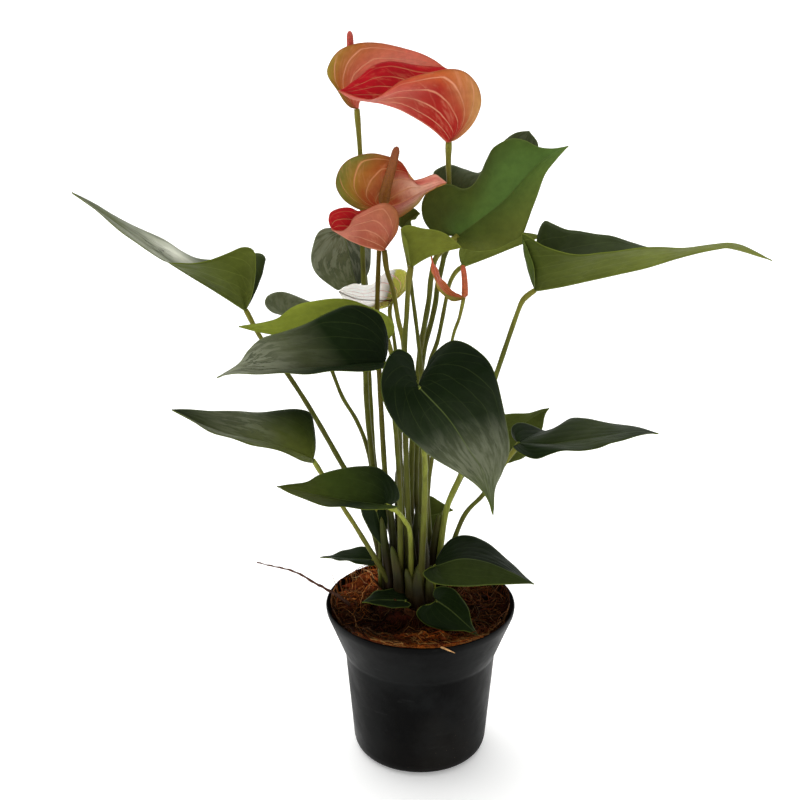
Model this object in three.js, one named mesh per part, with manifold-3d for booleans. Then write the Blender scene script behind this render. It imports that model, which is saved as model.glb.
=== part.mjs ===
// A potted anthurium: a plastic nursery pot, its planting mix, a crown of stems, heart-shaped leaves
// and two-tone flowers. Lengths are in millimetres, +Z is up, +X is to the right as seen from the front,
// and the origin is the centre of the pot's underside.
//
// Leaves, flowers and stems are laid out on sight lines. A point [x, z] lies on the upright plane through
// the pot's axis, and its depth (positive away from the front) slides it along the line from EYE.

import * as THREE from "three";
import Module from "manifold-3d";

const EYE = new THREE.Vector3(-12.9, -800, 537);

// Clearance between pieces that touch on the real plant.
const GAP = 0.4;

const POT = {
  outer: [
    [34, 0], [38.5, 0.8], [41.5, 3.5], [42.8, 8], [47.9, 69.5], [49.3, 72.5], [59.2, 98], [60, 99.5],
    [60, 102],
  ],
  inner: [[58.8, 102.6], [58.5, 99.5], [57.6, 97], [48, 73.4], [46.7, 70], [41.2, 9], [39.4, 5], [36, 2.4]],
  segments: 40,
  drainHoles: 6,
  drainRadius: 3.5,
  drainCircle: 29,
};

const SOIL = {
  side: [[35, 3.6], [38.4, 5.6], [40.5, 9.4], [46, 70.2], [47.3, 73.9], [56.6, 96.6]],
  level: 98.6,
  flatRadius: 32,
  flatLevel: 98,
  lumpHeight: 1.6,
  backHump: 4,
  rings: 4,
  segments: 36,
};

const CROWN = {
  radius: 27.5,
  top: 106,
  lobes: 7,
  lobeDepth: 1.2,
  segments: 28,
};

// Dry brown scales that sheathe the crown: bearing in degrees, height and lean outwards in mm.
const SCALES = [
  { bearing: 205, height: 26, lean: 5 },
  { bearing: 255, height: 18, lean: 4 },
  { bearing: 160, height: 22, lean: 7 },
  { bearing: 320, height: 16, lean: 5 },
  { bearing: 50, height: 20, lean: 6 },
];

const TWIG = {
  girth: [0.6, 1.3],
  path: [
    [-103, 129.5, 4], [-86.5, 125.5, 3], [-76, 121.5, 3], [-68, 116, 2], [-60, 111, 1], [-52, 106, 0],
    [-46, 102.4, 0],
  ],
};

const COLOURS = {
  pot: 0x1b1c1e,
  soil: 0x4a2a14,
  crown: 0x5c3a1c,
  twig: 0x5a4030,
  leaf: 0x2c4420,
  youngLeaf: 0x7d8c36,
  petiole: 0x66792c,
  spathe: 0xd07a62,
  paleSpathe: 0xe9d6cc,
  spadix: 0xa86a3a,
};

// Blade sheet: thickness along the rib and at the edge, and the share of the edge, counted from the
// notch, whose veins all start where the stalk joins.
const BLADE = {
  thickness: 0.9,
  edgeThickness: 0.5,
  fanShare: 0.34,
  rows: 13,
  columns: 3,
};

const STEM_SIDES = 6;
const CROWN_LEVEL = CROWN.top + GAP;

const LEAVES = {
  left_top: {
    depth: [12, 0],
    reach: [-30, 32],
    rib: [
      [-103.5, 295], [-121, 307], [-136.5, 317], [-151, 327], [-167.5, 340], [-186, 354.5], [-200, 365],
    ],
    left: [
      [-99, 306], [-96.5, 320.5], [-97.5, 330.5], [-103.5, 332.5], [-112.5, 329], [-126, 325],
      [-139.5, 323.5], [-151, 324.5], [-167.5, 337.5], [-186, 353],
    ],
    right: [
      [-98, 307], [-93, 319], [-90.5, 326], [-95, 329.5], [-107, 327], [-119, 325], [-130, 326.5],
      [-139, 331], [-148.5, 337], [-167, 346], [-185.5, 357.5],
    ],
    foot: [-23, 3],
    girth: [1.3, 2.0],
    via: [[-94.5, 276.5, 14], [-80, 255, 14], [-65.5, 230, 13], [-48, 196, 10], [-34, 169, 7]],
  },
  left_back: {
    depth: [66, 72],
    reach: [8, -15],
    rib: [[-68, 290], [-59, 292], [-49.5, 291.5], [-41, 289.5]],
    left: [
      [-76.5, 293.5], [-86.5, 293], [-92, 298], [-90.5, 303.5], [-83.5, 306], [-74, 303.5], [-62, 299],
      [-50.5, 294.5],
    ],
    right: [[-72, 286.5], [-78, 282], [-73.5, 277], [-61.5, 277], [-49.5, 282]],
    foot: [-19, 12],
    girth: [1.1, 1.7],
    via: [
      [-61.5, 276.5, 70], [-54, 258.5, 62], [-47.5, 240.5, 52], [-39, 225, 41], [-32.5, 206, 30],
      [-27, 172.5, 20],
    ],
    shortBy: 1.8,
  },
  left_young: {
    depth: [5, -3],
    reach: [-18, 16],
    rib: [[-20, 276.5], [-42.5, 279.5], [-66, 281], [-84, 280], [-97, 282], [-108, 285]],
    left: [
      [-16.5, 282], [-17.5, 288], [-23.5, 293.5], [-33.5, 298.5], [-43.5, 301], [-57, 301.5],
      [-68.5, 300], [-76.5, 296], [-84.5, 290], [-94, 287.5],
    ],
    right: [[-19, 280], [-24.5, 285.5], [-42.5, 292], [-66, 290], [-83.5, 285], [-94.5, 283.5]],
    foot: [-9, 3.5],
    girth: [1.2, 1.8],
    via: [[-17, 262.5, 7], [-14.5, 238.5, 6], [-13, 199.5, 5]],
  },
  left_middle: {
    depth: [-36, -48],
    reach: [-24, 16],
    rib: [
      [-22, 262], [-42.5, 260], [-60.5, 259], [-78.5, 258.5], [-95, 257.5], [-108.5, 258.5],
      [-122.5, 253],
    ],
    left: [[-19.5, 259.5], [-28, 257.5], [-42.5, 257], [-66.5, 255.5], [-90.5, 255], [-108.5, 255.5]],
    right: [
      [-20, 272], [-21, 282.5], [-25, 292.5], [-33, 297], [-43.5, 298], [-55, 293.5], [-69, 286.5],
      [-82.5, 281.5], [-94.5, 277.5], [-103, 270], [-109.5, 261.5],
    ],
    foot: [-12.5, -9],
    girth: [1.3, 2.0],
    via: [[-17.5, 238.5, -34], [-14.5, 206, -26], [-13, 172.5, -18]],
  },
  left_low: {
    depth: [-14, -28],
    reach: [-28, 22],
    rib: [
      [-66, 199.5], [-78.5, 205.5], [-95, 210.5], [-107, 212.5], [-119, 216], [-131, 221], [-141, 227],
      [-150.5, 232.5],
    ],
    left: [
      [-65.5, 197.5], [-71, 198.5], [-80, 202.5], [-95, 208], [-107, 210.5], [-119, 214.5], [-131, 220],
    ],
    right: [
      [-64.5, 208], [-64.5, 221], [-67, 230], [-74.5, 232.5], [-86.5, 232], [-102, 231],
      [-122.5, 231.5], [-138.5, 232.5],
    ],
    foot: [-20, -6],
    girth: [1.2, 1.8],
    via: [[-60.5, 189.5, -13], [-54, 178, -12], [-47.5, 166.5, -11], [-38, 150, -10]],
  },
  front_left: {
    depth: [-38, -46],
    reach: [-20, 17],
    rib: [[-22, 169], [-32.5, 170.5], [-47, 172.5], [-62, 175.5], [-74.5, 178.5], [-88.5, 182]],
    left: [[-18, 166.5], [-13.5, 168], [-19, 166], [-30, 166.5], [-45, 167], [-63.5, 170], [-76, 174.5]],
    right: [
      [-17, 170], [-13, 174], [-14.5, 182], [-20.5, 189.5], [-28, 195], [-38.5, 195.5], [-51, 193],
      [-63, 189.5], [-71.5, 184.5],
    ],
    foot: [-6, -12],
    girth: [1.2, 1.8],
    via: [[-15, 165, -33], [-10, 158.5, -27], [-6.5, 148.5, -21]],
    shortBy: 2.4,
  },
  front_heart: {
    depth: [-72, -104],
    reach: [14, -4],
    lobeDepth: 8,
    rib: [[-2, 247], [15.5, 227.5], [28, 208], [38.5, 190], [45, 162.5]],
    left: [
      [1, 252.5], [5, 264], [11, 272], [18.5, 276.5], [28.5, 273.5], [39, 264], [44.5, 252.5],
      [49, 236.5], [52.5, 219], [53.5, 204], [50, 191], [46, 179.5],
    ],
    right: [
      [-4, 255], [-5, 264], [-8, 268.5], [-14.5, 271], [-20.5, 265], [-24.5, 251.5], [-22.5, 236.5],
      [-14.5, 221], [-5, 211.5], [7.5, 200.5], [24, 190], [35, 181.5], [41.5, 172.5],
    ],
    foot: [0, -14],
    girth: [1.4, 2.2],
    via: [[-0.5, 238.5, -60], [1.5, 212.5, -44], [2.5, 179.5, -28]],
  },
  right_back: {
    depth: [48, 44],
    reach: [8, -8],
    rib: [[39, 212.5], [57, 220.5], [67, 227], [77, 233.5]],
    left: [[34.5, 218], [35.5, 225], [41.5, 228], [50.5, 229.5], [61.5, 230], [69.5, 231.5]],
    right: [
      [41.5, 204.5], [46, 198.5], [51.5, 197], [57, 198.5], [63.5, 201.5], [71, 210.5], [73.5, 220.5],
      [74.5, 228],
    ],
    foot: [14, 14],
    girth: [1.2, 1.8],
    via: [[33, 202.5, 44], [25, 188, 38], [17.5, 170.5, 28], [12.5, 155.5, 21]],
    shortBy: 1.8,
  },
  right_middle: {
    depth: [0, -8],
    reach: [22, -20],
    rib: [[59.5, 210.5], [75.5, 209.5], [93.5, 212], [111.5, 215], [129.5, 218], [144, 217]],
    left: [
      [55, 215], [54.5, 220.5], [57.5, 223.5], [62.5, 223.5], [70, 220.5], [76, 219], [84, 222.5],
      [90, 226.5], [99, 226.5], [108, 225], [120, 223], [132.5, 220.5],
    ],
    right: [
      [55.5, 208.5], [58, 205.5], [63.5, 202.5], [71, 200.5], [78.5, 202.5], [89, 205.5], [107, 206.5],
      [116.5, 210.5], [130, 215],
    ],
    foot: [13, -5],
    girth: [1.2, 1.8],
    via: [[51.5, 197.5, 0], [38.5, 176.5, -2], [25.5, 159, -3]],
  },
  right_top: {
    depth: [10, -8],
    reach: [34, -32],
    rib: [
      [66, 307], [80.5, 309.5], [96, 313], [113.5, 317], [130.5, 321], [149.5, 327], [168, 331.5],
      [185, 333], [203, 325],
    ],
    left: [
      [66.5, 324], [67.5, 334], [67, 342], [70, 348.5], [75, 347], [83, 343.5], [90.5, 342.5],
      [100.5, 340.5], [110, 339], [121.5, 335.5], [133.5, 332.5], [155, 330.5], [175, 332.5],
    ],
    right: [
      [64.5, 320.5], [61, 330.5], [57, 340.5], [62, 338.5], [69.5, 333.5], [78.5, 330.5], [91.5, 329],
      [110.5, 330.5], [133.5, 332.5], [149, 333], [168, 334.5], [183.5, 334],
    ],
    foot: [11, 3],
    girth: [1.4, 2.1],
    via: [
      [60.5, 302.5, 10], [56.5, 294.5, 10], [44, 253, 9], [34.5, 222.5, 8], [24.5, 190, 6],
      [15.5, 164.5, 5],
    ],
  },
  top_right: {
    depth: [28, 16],
    reach: [10, -16],
    lobeDepth: -6,
    rib: [[20.5, 339.5], [33, 349], [46, 359.5], [57, 372], [68, 383.5], [82, 391.5]],
    left: [
      [14, 340], [5.5, 342.5], [0.5, 349], [-0.5, 358], [2.5, 365], [8, 368.5], [15.5, 369.5],
      [22.5, 367], [28, 369], [32.5, 376], [36.5, 384.5], [40.5, 391], [49.5, 395.5], [57.5, 394.5],
      [65, 391], [73.5, 390],
    ],
    right: [
      [20.5, 333.5], [26.5, 331], [33.5, 330], [42, 331.5], [50.5, 335.5], [57.5, 339.5], [60.5, 347],
      [63, 356.5], [67, 368], [70.5, 376.5], [76, 384.5],
    ],
    foot: [-5, 17.5],
    girth: [1.6, 2.0],
    via: [
      [14.5, 333.5, 25], [8.5, 327.5, 26], [6.5, 322, 27], [5, 313, 27], [4, 301, 27], [1, 282.5, 26],
      [-1, 270, 26], [-2.5, 251.5, 25], [-5, 225.5, 24], [-6, 179.5, 20],
    ],
    shortBy: 1.5,
  },
  small_centre: {
    depth: [0, -2],
    reach: [14, -16],
    rib: [[-6.5, 321.5], [1.5, 326.5], [10.5, 330], [22.5, 333]],
    left: [[-6.5, 326.5], [-5.5, 333.5], [-1.5, 337], [5.5, 337], [14.5, 334]],
    right: [[-7.5, 330], [-9.5, 337], [-11.5, 343.5], [-6, 345.5], [4.5, 343.5], [13, 341], [18.5, 337]],
    foot: [-6.5, -3.5],
    girth: [1.5, 1.9],
    via: [[-8, 310, -1], [-9, 291.5, -2], [-10, 273.5, -3], [-10, 225.5, -4], [-8, 172.5, -4]],
    shortBy: 0.8,
  },
  small_right: {
    depth: [46, 44],
    reach: [14, -16],
    rib: [[23.5, 321.5], [39, 327.5], [53.5, 333.5], [69, 339.5]],
    left: [[23.5, 326.5], [24, 332.5], [30.5, 337], [42, 339.5], [56.5, 340]],
    right: [[22.5, 325], [21, 330], [23.5, 335.5], [30.5, 339], [42, 341], [56, 342]],
    foot: [8.5, 10],
    girth: [1.2, 1.8],
    via: [
      [19.5, 318, 44], [16, 311, 42], [14, 301, 39], [9.5, 276.5, 34], [4, 257.5, 30], [4, 219, 22],
      [4, 172.5, 15],
    ],
    shortBy: 0.8,
  },
  hanging_back: {
    depth: [72, 64],
    reach: [6, -3],
    rib: [[-45.5, 341], [-43, 331], [-41, 320.5], [-38, 310]],
    left: [[-41.5, 343.5], [-35.5, 342.5], [-31, 336.5], [-29.5, 327.5], [-31, 319], [-34, 312.5]],
    right: [
      [-49, 343.5], [-56, 344], [-60.5, 341], [-63, 334.5], [-64.5, 327], [-63.5, 320.5], [-60, 315],
      [-54, 310], [-49, 307], [-45.5, 309], [-42, 310],
    ],
    foot: [-13, 17],
    girth: [1.1, 1.7],
    via: [
      [-40.5, 344, 82], [-35.5, 332.5, 86], [-32.5, 310, 82], [-32, 282.5, 72], [-30.5, 238.5, 52],
      [-27, 186, 30],
    ],
    shortBy: 3.4,
  },
  top_back: {
    depth: [78, 84],
    reach: [14, -12],
    rib: [[26, 363], [35.5, 372], [46.5, 384.5], [59.5, 400]],
    left: [
      [16.5, 365], [10, 368.5], [6, 375.5], [10, 379], [16, 380.5], [24.5, 378.5], [32.5, 376.5],
      [38, 384.5], [44.5, 393.5], [51.5, 398.5],
    ],
    right: [[29.5, 357], [37.5, 352.5], [47, 356], [55.5, 366.5], [62.5, 380.5], [65, 392]],
    foot: [8, 18],
    girth: [1.2, 1.9],
    via: [
      [19.5, 343, 78], [13, 327, 72], [9.5, 310, 64], [8, 299, 60], [5.5, 287, 54], [2, 272.5, 48],
      [0, 254.5, 43], [0, 225.5, 38], [0, 179.5, 27],
    ],
    shortBy: 1.5,
  },
  right_low: {
    depth: [-26, -44],
    reach: [16, -16],
    rib: [[9.5, 127], [25, 132], [40.5, 130], [56.5, 123], [72, 114.5]],
    left: [
      [10.5, 134], [16, 143], [23.5, 148], [32, 148.5], [40, 144.5], [48.5, 137], [57, 130], [64.5, 121],
    ],
    right: [[4.5, 125.5], [1.5, 121.5], [7.5, 116], [18.5, 113], [31.5, 113], [44, 113.5], [58.5, 114.5]],
    foot: [8, -12],
    girth: [1.2, 1.8],
    via: [],
  },
};

const TINY_LEAVES = {
  tiny_left: {
    depth: [12, 8],
    reach: [-7, 8],
    rib: [[-30.5, 131.5], [-38, 132], [-47.5, 132.5], [-63, 133.5]],
    left: [[-28, 129], [-32, 127], [-40, 129], [-50.5, 131.5]],
    right: [[-28, 135], [-31.5, 139.5], [-40, 140.5], [-49, 137.5], [-56, 135]],
    foot: [-23.5, 9.5],
    girth: [0.9, 1.4],
    via: [[-26.5, 125.5, 11]],
  },
  tiny_hanging: {
    depth: [-3, -6],
    reach: [3, -3],
    rib: [[-28, 167], [-26, 159], [-24, 150], [-23, 139.5]],
    left: [[-25.5, 170.5], [-22, 168], [-21, 159.5], [-21, 149.5]],
    right: [[-31.5, 171.5], [-37, 169], [-36.5, 163], [-33.5, 155], [-29.5, 147.5]],
    foot: [-25.3, -2.5],
    girth: [0.9, 1.4],
    via: [[-26.5, 155.5, 0], [-25.5, 144, 0]],
  },
  tiny_front: {
    depth: [-24, -47],
    reach: [4, -6],
    rib: [[10.5, 102.5], [19, 96], [28.5, 86.5], [38, 76.5]],
    left: [[8, 107.5], [11, 112.5], [20, 111.5], [26, 105], [30.5, 97.5], [33, 86.5]],
    right: [[6, 99.5], [0.5, 99], [-2.5, 93], [2.5, 86], [11.5, 82], [22.5, 80.5], [30, 80]],
    foot: [9, -20],
    girth: [0.9, 1.4],
    via: [],
  },
  tiny_soil: {
    depth: [-20, -26],
    reach: [-5, 8],
    rib: [[-9.5, 102.5], [-19, 103], [-27.5, 103], [-37, 101.5]],
    left: [[-6, 99.5], [-11, 97.5], [-20.5, 98], [-29.5, 100]],
    right: [[-6, 104.5], [-11.5, 109], [-19, 111], [-28, 109.5], [-33, 105]],
    foot: [-8, -19],
    girth: [0.9, 1.4],
    via: [],
  },
  tiny_right: {
    depth: [36, 34],
    reach: [6, -5],
    rib: [[4, 161.5], [9.5, 163], [15, 164.5], [20, 166]],
    left: [[2, 167], [1.5, 174], [5.5, 175.5], [10, 173], [15, 169.5]],
    right: [[2, 156.5], [3.5, 149.5], [6.5, 146.5], [9.5, 150], [12.5, 157.5], [16, 163]],
    foot: [3.5, 23.2],
    girth: [0.9, 1.4],
    via: [[2.5, 153.5, 36], [1.5, 142, 33]],
  },
  small_back: {
    depth: [42, 46],
    reach: [4, -3],
    rib: [[-11.5, 343.5], [-9.5, 347], [-6, 350], [-1.5, 353]],
    left: [[-13.5, 346.5], [-14, 352.5], [-9.5, 356], [-4.5, 355.5]],
    right: [[-9, 343], [-7, 345.5], [-6, 348.5], [-3, 350.5]],
    foot: [1, 1.5],
    girth: [1.1, 1.6],
    via: [
      [-10.5, 335.5, 34], [-8, 323.5, 26], [-6, 307, 20], [-2.5, 279.5, 15], [0, 254.5, 12],
      [0.5, 219, 9], [0, 179.5, 5],
    ],
  },
};

const FLOWERS = {
  top_left: {
    depth: [66, 58],
    reach: [14, -14],
    rib: [[-37, 412], [-35, 417.5], [-25, 424], [-8.5, 429.5], [9, 433], [17.5, 433]],
    left: [
      [-37, 416.5], [-42.5, 422.5], [-46, 430], [-45.5, 438], [-40.5, 442.5], [-31.5, 445.5],
      [-18.5, 445.5], [-4.5, 441.5], [8, 436],
    ],
    right: [
      [-41, 413], [-44.5, 416.5], [-48, 422.5], [-53, 431], [-52, 437], [-48.5, 442.5], [-43, 446],
      [-35, 448], [-24, 448], [-13, 446], [-3, 443], [5.5, 439], [12.5, 434.5],
    ],
    foot: [-16, 5.5],
    girth: [1.5, 1.9],
    via: [
      [-35.5, 389, 62], [-34.5, 360.5, 59], [-34.5, 331, 56], [-34, 310, 52], [-33.5, 276.5, 44],
      [-33, 238.5, 32], [-29.5, 196, 20], [-25.5, 159, 12],
    ],
    spadix: [[-38, 418.5, 66], [-39, 428, 65.5], [-40, 441.5, 64.5], [-40.5, 454.5, 64]],
    spadixGirth: [2.9, 1.9],
  },
  top_right: {
    depth: [34, 22],
    reach: [-15, 14],
    rib: [
      [14.5, 393.5], [4, 402.5], [-10.5, 411], [-22, 415], [-30.5, 416.5], [-39.5, 418], [-47, 422.5],
    ],
    left: [
      [19.5, 395.5], [25.5, 400.5], [30, 407], [32.5, 415], [31.5, 422], [28.5, 427.5], [23.5, 432],
      [17.5, 434], [11, 434], [2.5, 432], [-6, 429.5], [-13, 427], [-19.5, 422.5], [-27.5, 418],
      [-35, 418], [-41.5, 420],
    ],
    right: [
      [19, 398], [24.5, 407], [26.5, 417], [24.5, 425], [19, 431], [12, 434.5], [3.5, 435.5],
      [-5.5, 436.5], [-14, 438], [-21, 438], [-28.5, 435.5], [-34, 431], [-39.5, 427], [-44, 423.5],
    ],
    foot: [2, 16],
    girth: [1.6, 1.9],
    via: [
      [14.5, 380.5, 43], [15, 369, 44], [15, 352, 46], [13.5, 335.5, 47], [12, 324, 47], [9, 310, 46],
      [8, 300, 44], [5.5, 287.5, 42], [2, 273.5, 39], [-1, 254.5, 36], [-2, 225.5, 31], [-3, 179.5, 23],
    ],
    spadix: [[13, 403.5, 34], [9.5, 412.5, 32.5], [5, 420.5, 31.5], [0.5, 426, 30]],
    spadixGirth: [2.4, 1.6],
  },
  middle: {
    depth: [34, 24],
    reach: [-6, -6],
    rib: [[-22, 356], [-13, 358.5], [-1.5, 364.5], [13.5, 370.5]],
    left: [
      [-27, 354], [-33.5, 354], [-40.5, 357], [-46, 361.5], [-49.5, 368.5], [-48.5, 375.5],
      [-44.5, 381.5], [-38, 385.5], [-28.5, 387.5], [-19.5, 385.5], [-13, 382.5], [-9.5, 377],
      [-6.5, 372], [-0.5, 373], [6.5, 375.5], [10.5, 373],
    ],
    right: [[-18.5, 353], [-13.5, 350.5], [-7.5, 354], [-2.5, 358.5], [2, 364], [7.5, 368]],
    foot: [-13.5, -1.5],
    girth: [1.4, 1.9],
    via: [
      [-24, 342, 33], [-25, 331, 30], [-26, 307, 22], [-26.5, 282.5, 21], [-25.5, 259, 18],
      [-22.5, 197, 7], [-19.5, 159, 2],
    ],
    shortBy: 1.4,
    spadix: [[-22.5, 358, 28.5], [-21, 366.5, 25], [-18, 377.5, 21.5], [-14.5, 391, 18]],
    spadixGirth: [3.5, 2.1],
  },
  front_small: {
    depth: [16, 8],
    reach: [-11, 11],
    rib: [[-22, 331], [-32, 333.5], [-41, 337], [-47, 340.5], [-52, 343.5]],
    left: [
      [-18, 336.5], [-14, 344.5], [-13.5, 352.5], [-17, 357], [-22.5, 358.5], [-29.5, 356.5],
      [-35, 353.5], [-39.5, 350], [-41.5, 346], [-45, 343], [-48.5, 342.5],
    ],
    right: [
      [-20.5, 337], [-19, 345.5], [-22, 352.5], [-29, 355.5], [-37, 354], [-41.5, 356], [-47, 356],
      [-52.5, 353.5], [-54, 349.5], [-53.5, 346],
    ],
    foot: [-3, 10],
    girth: [1.4, 1.9],
    via: [
      [-20.5, 319, 17], [-17, 307, 18], [-14, 289, 19], [-10.5, 270, 18], [-9.5, 225.5, 15],
      [-8.5, 172.5, 12],
    ],
    spadix: [[-23, 339, 17], [-26, 345.5, 16.5], [-30, 350, 16], [-34, 353, 15.5]],
    spadixGirth: [2.6, 1.5],
  },
  pale: {
    depth: [38, 34],
    reach: [6, -8],
    rib: [[-18, 300.5], [-27.5, 300.5], [-38.5, 301.5], [-49, 306]],
    left: [
      [-13.5, 302.5], [-9.5, 307], [-8, 313], [-9.5, 318.5], [-14.5, 320], [-20, 318.5], [-24, 315.5],
      [-28, 311.5], [-33.5, 310], [-39.5, 311], [-45, 309],
    ],
    right: [[-20, 297], [-30.5, 295.5], [-41, 298], [-46.5, 302.5]],
    foot: [-10, 10.5],
    girth: [1.1, 1.7],
    via: [[-19, 293.5, 36], [-17.5, 284.5, 35], [-15.5, 269, 31], [-13.5, 238.5, 24], [-12.5, 199.5, 16]],
    shortBy: 1.7,
    spadix: [[-19, 303.5, 41.5], [-20.5, 308.5, 43.5], [-22, 312.5, 45], [-24.5, 315.5, 46.5]],
    spadixGirth: [2.2, 1.6],
  },
  bud: {
    depth: [-20, -24],
    reach: [-7, 7],
    rib: [[24.5, 302.5], [17.5, 302.5], [12, 307], [8, 315.5], [5.5, 327.5]],
    left: [[23, 301], [16.5, 301], [11, 305.5], [7, 314], [5.5, 321.5]],
    right: [[23.5, 303.5], [18, 306], [13.5, 311], [10, 317], [7, 323.5]],
    foot: [1.5, -7],
    girth: [0.9, 1.6],
    via: [[22, 290, -19], [18, 276.5, -18], [12, 238.5, -15], [6.5, 199.5, -11], [4, 172.5, -9]],
    spadix: [[25, 303, -21.5], [25, 309.5, -23], [24.5, 316, -24.5], [23.5, 322, -26]],
    spadixGirth: [1.9, 1.4],
  },
};

const manifold = await Module();
manifold.setup();

const vec = (x, y, z) => new THREE.Vector3(x, y, z);
const degrees = THREE.MathUtils.degToRad;
const mix = THREE.MathUtils.lerp;

// A point of the measuring plane slid along its sight line to a depth.
function onSightLine([x, z], depth) {
  return vec(x, 0, z).sub(EYE).multiplyScalar(1 - depth / EYE.y).add(EYE);
}

function splineThrough(points) {
  return new THREE.CatmullRomCurve3(points, false, "centripetal");
}

// A closed skin over rows of equally many points, with a fan over the first and the last row.
function skin(rows) {
  const around = rows[0].length;
  const positions = [];
  const faces = [];
  rows.flat().forEach((p) => positions.push(p.x, p.y, p.z));
  const at = (row, i) => row * around + (i % around);
  for (let row = 0; row < rows.length - 1; row++) {
    for (let i = 0; i < around; i++) {
      faces.push(at(row, i), at(row, i + 1), at(row + 1, i + 1));
      faces.push(at(row, i), at(row + 1, i + 1), at(row + 1, i));
    }
  }
  const last = rows.length - 1;
  [[rows[0], 0, true], [rows[last], last, false]].forEach(([row, number, first]) => {
    const centre = row.reduce((sum, p) => sum.add(p), vec(0, 0, 0)).divideScalar(around);
    const hub = positions.length / 3;
    positions.push(centre.x, centre.y, centre.z);
    for (let i = 0; i < around; i++) {
      const here = at(number, i);
      const next = at(number, i + 1);
      faces.push(hub, first ? next : here, first ? here : next);
    }
  });
  const geometry = new THREE.BufferGeometry();
  geometry.setAttribute("position", new THREE.Float32BufferAttribute(positions, 3));
  geometry.setIndex(faces);
  return geometry;
}

function circleRow(radius, z, segments, wobble = () => 0) {
  return Array.from({ length: segments }, (_, i) => {
    const angle = (2 * Math.PI * i) / segments;
    const r = radius + wobble(angle);
    return vec(r * Math.cos(angle), r * Math.sin(angle), z);
  });
}

// A round rod along a curve; girth(u) is its radius at the share u of its length.
function rod(curve, girth, rings, sides) {
  const frames = curve.computeFrenetFrames(rings, false);
  const rows = [];
  for (let ring = 0; ring <= rings; ring++) {
    const share = ring / rings;
    const centre = curve.getPointAt(share);
    const row = [];
    for (let i = 0; i < sides; i++) {
      const angle = (2 * Math.PI * i) / sides;
      const offset = frames.normals[ring].clone().multiplyScalar(Math.cos(angle));
      offset.addScaledVector(frames.binormals[ring], Math.sin(angle));
      row.push(centre.clone().addScaledVector(offset, girth(share)));
    }
    rows.push(row);
  }
  return skin(rows);
}

// Gives a sheet of triangles its thickness: one skin each side, joined along the free edge.
function thicken(points, triangles, thicknessAt) {
  const normals = points.map(() => vec(0, 0, 0));
  const face = new THREE.Triangle();
  const faceNormal = vec(0, 0, 0);
  triangles.forEach((corners) => {
    face.set(...corners.map((c) => points[c]));
    face.getNormal(faceNormal);
    corners.forEach((c) => normals[c].addScaledVector(faceNormal, face.getArea()));
  });
  const positions = [];
  [1, -1].forEach((side) => {
    points.forEach((p, i) => {
      const q = p.clone().addScaledVector(normals[i].clone().normalize(), (side * thicknessAt[i]) / 2);
      positions.push(q.x, q.y, q.z);
    });
  });
  const under = points.length;
  const faces = [];
  const edges = new Map();
  triangles.forEach(([a, b, c]) => {
    faces.push(a, b, c, under + c, under + b, under + a);
    [[a, b], [b, c], [c, a]].forEach(([p, q]) => {
      const back = `${q},${p}`;
      if (edges.has(back)) edges.delete(back);
      else edges.set(`${p},${q}`, [p, q]);
    });
  });
  edges.forEach(([p, q]) => faces.push(p, under + p, under + q, p, under + q, q));
  const geometry = new THREE.BufferGeometry();
  geometry.setAttribute("position", new THREE.Float32BufferAttribute(positions, 3));
  geometry.setIndex(faces);
  return geometry;
}

// One half of a blade, from its rib out to its edge: rows run from the notch to the tip.
function halfBlade(shape, side, rows, columns) {
  const [startDepth, tipDepth] = shape.depth;
  const reach = shape.reach[side === "left" ? 0 : 1];
  const flat = ([x, z]) => vec(x, 0, z);
  const rib = splineThrough(shape.rib.map(flat));
  const ends = [shape.rib[0], shape.rib[shape.rib.length - 1]];
  const edge = splineThrough([ends[0], ...shape[side], ends[1]].map(flat));
  const grid = [];
  for (let row = 0; row <= rows; row++) {
    const share = row / rows;
    const ribShare = Math.max(0, (share - BLADE.fanShare) / (1 - BLADE.fanShare)) ** 1.15;
    const ribDepth = mix(startDepth, tipDepth, ribShare);
    const bow = Math.max(0, Math.sin(Math.PI * share ** 0.8)) ** 0.8;
    const lobe = (shape.lobeDepth ?? 0) * Math.max(0, 1 - Math.abs(share - 0.2) / 0.2);
    const ribPoint = rib.getPointAt(ribShare);
    const edgePoint = edge.getPointAt(share);
    const from = onSightLine([ribPoint.x, ribPoint.z], ribDepth);
    const to = onSightLine([edgePoint.x, edgePoint.z], ribDepth + reach * bow + lobe);
    grid.push(Array.from({ length: columns + 1 }, (_, i) => from.clone().lerp(to, i / columns)));
  }
  return grid;
}

// A whole blade: both halves share the points of the rib.
function blade(shape, rows = BLADE.rows, columns = BLADE.columns) {
  const points = [];
  const thicknessAt = [];
  const known = new Map();
  const index = (p, share) => {
    const key = [p.x, p.y, p.z].map((v) => v.toFixed(2)).join();
    if (!known.has(key)) {
      known.set(key, points.length);
      points.push(p);
      thicknessAt.push(mix(BLADE.thickness, BLADE.edgeThickness, share));
    }
    return known.get(key);
  };
  const triangles = [];
  const add = (a, b, c) => {
    if (a !== b && b !== c && c !== a) triangles.push([a, b, c]);
  };
  ["left", "right"].forEach((side) => {
    const grid = halfBlade(shape, side, rows, columns);
    const numbers = grid.map((row) => row.map((p, i) => index(p, i / columns)));
    for (let row = 0; row < rows; row++) {
      for (let i = 0; i < columns; i++) {
        const [a, b] = [numbers[row][i], numbers[row][i + 1]];
        const [d, c] = [numbers[row + 1][i], numbers[row + 1][i + 1]];
        if (side === "left") {
          add(a, d, c);
          add(a, c, b);
        } else {
          add(a, c, d);
          add(a, b, c);
        }
      }
    }
  });
  return thicken(points, triangles, thicknessAt);
}

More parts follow.
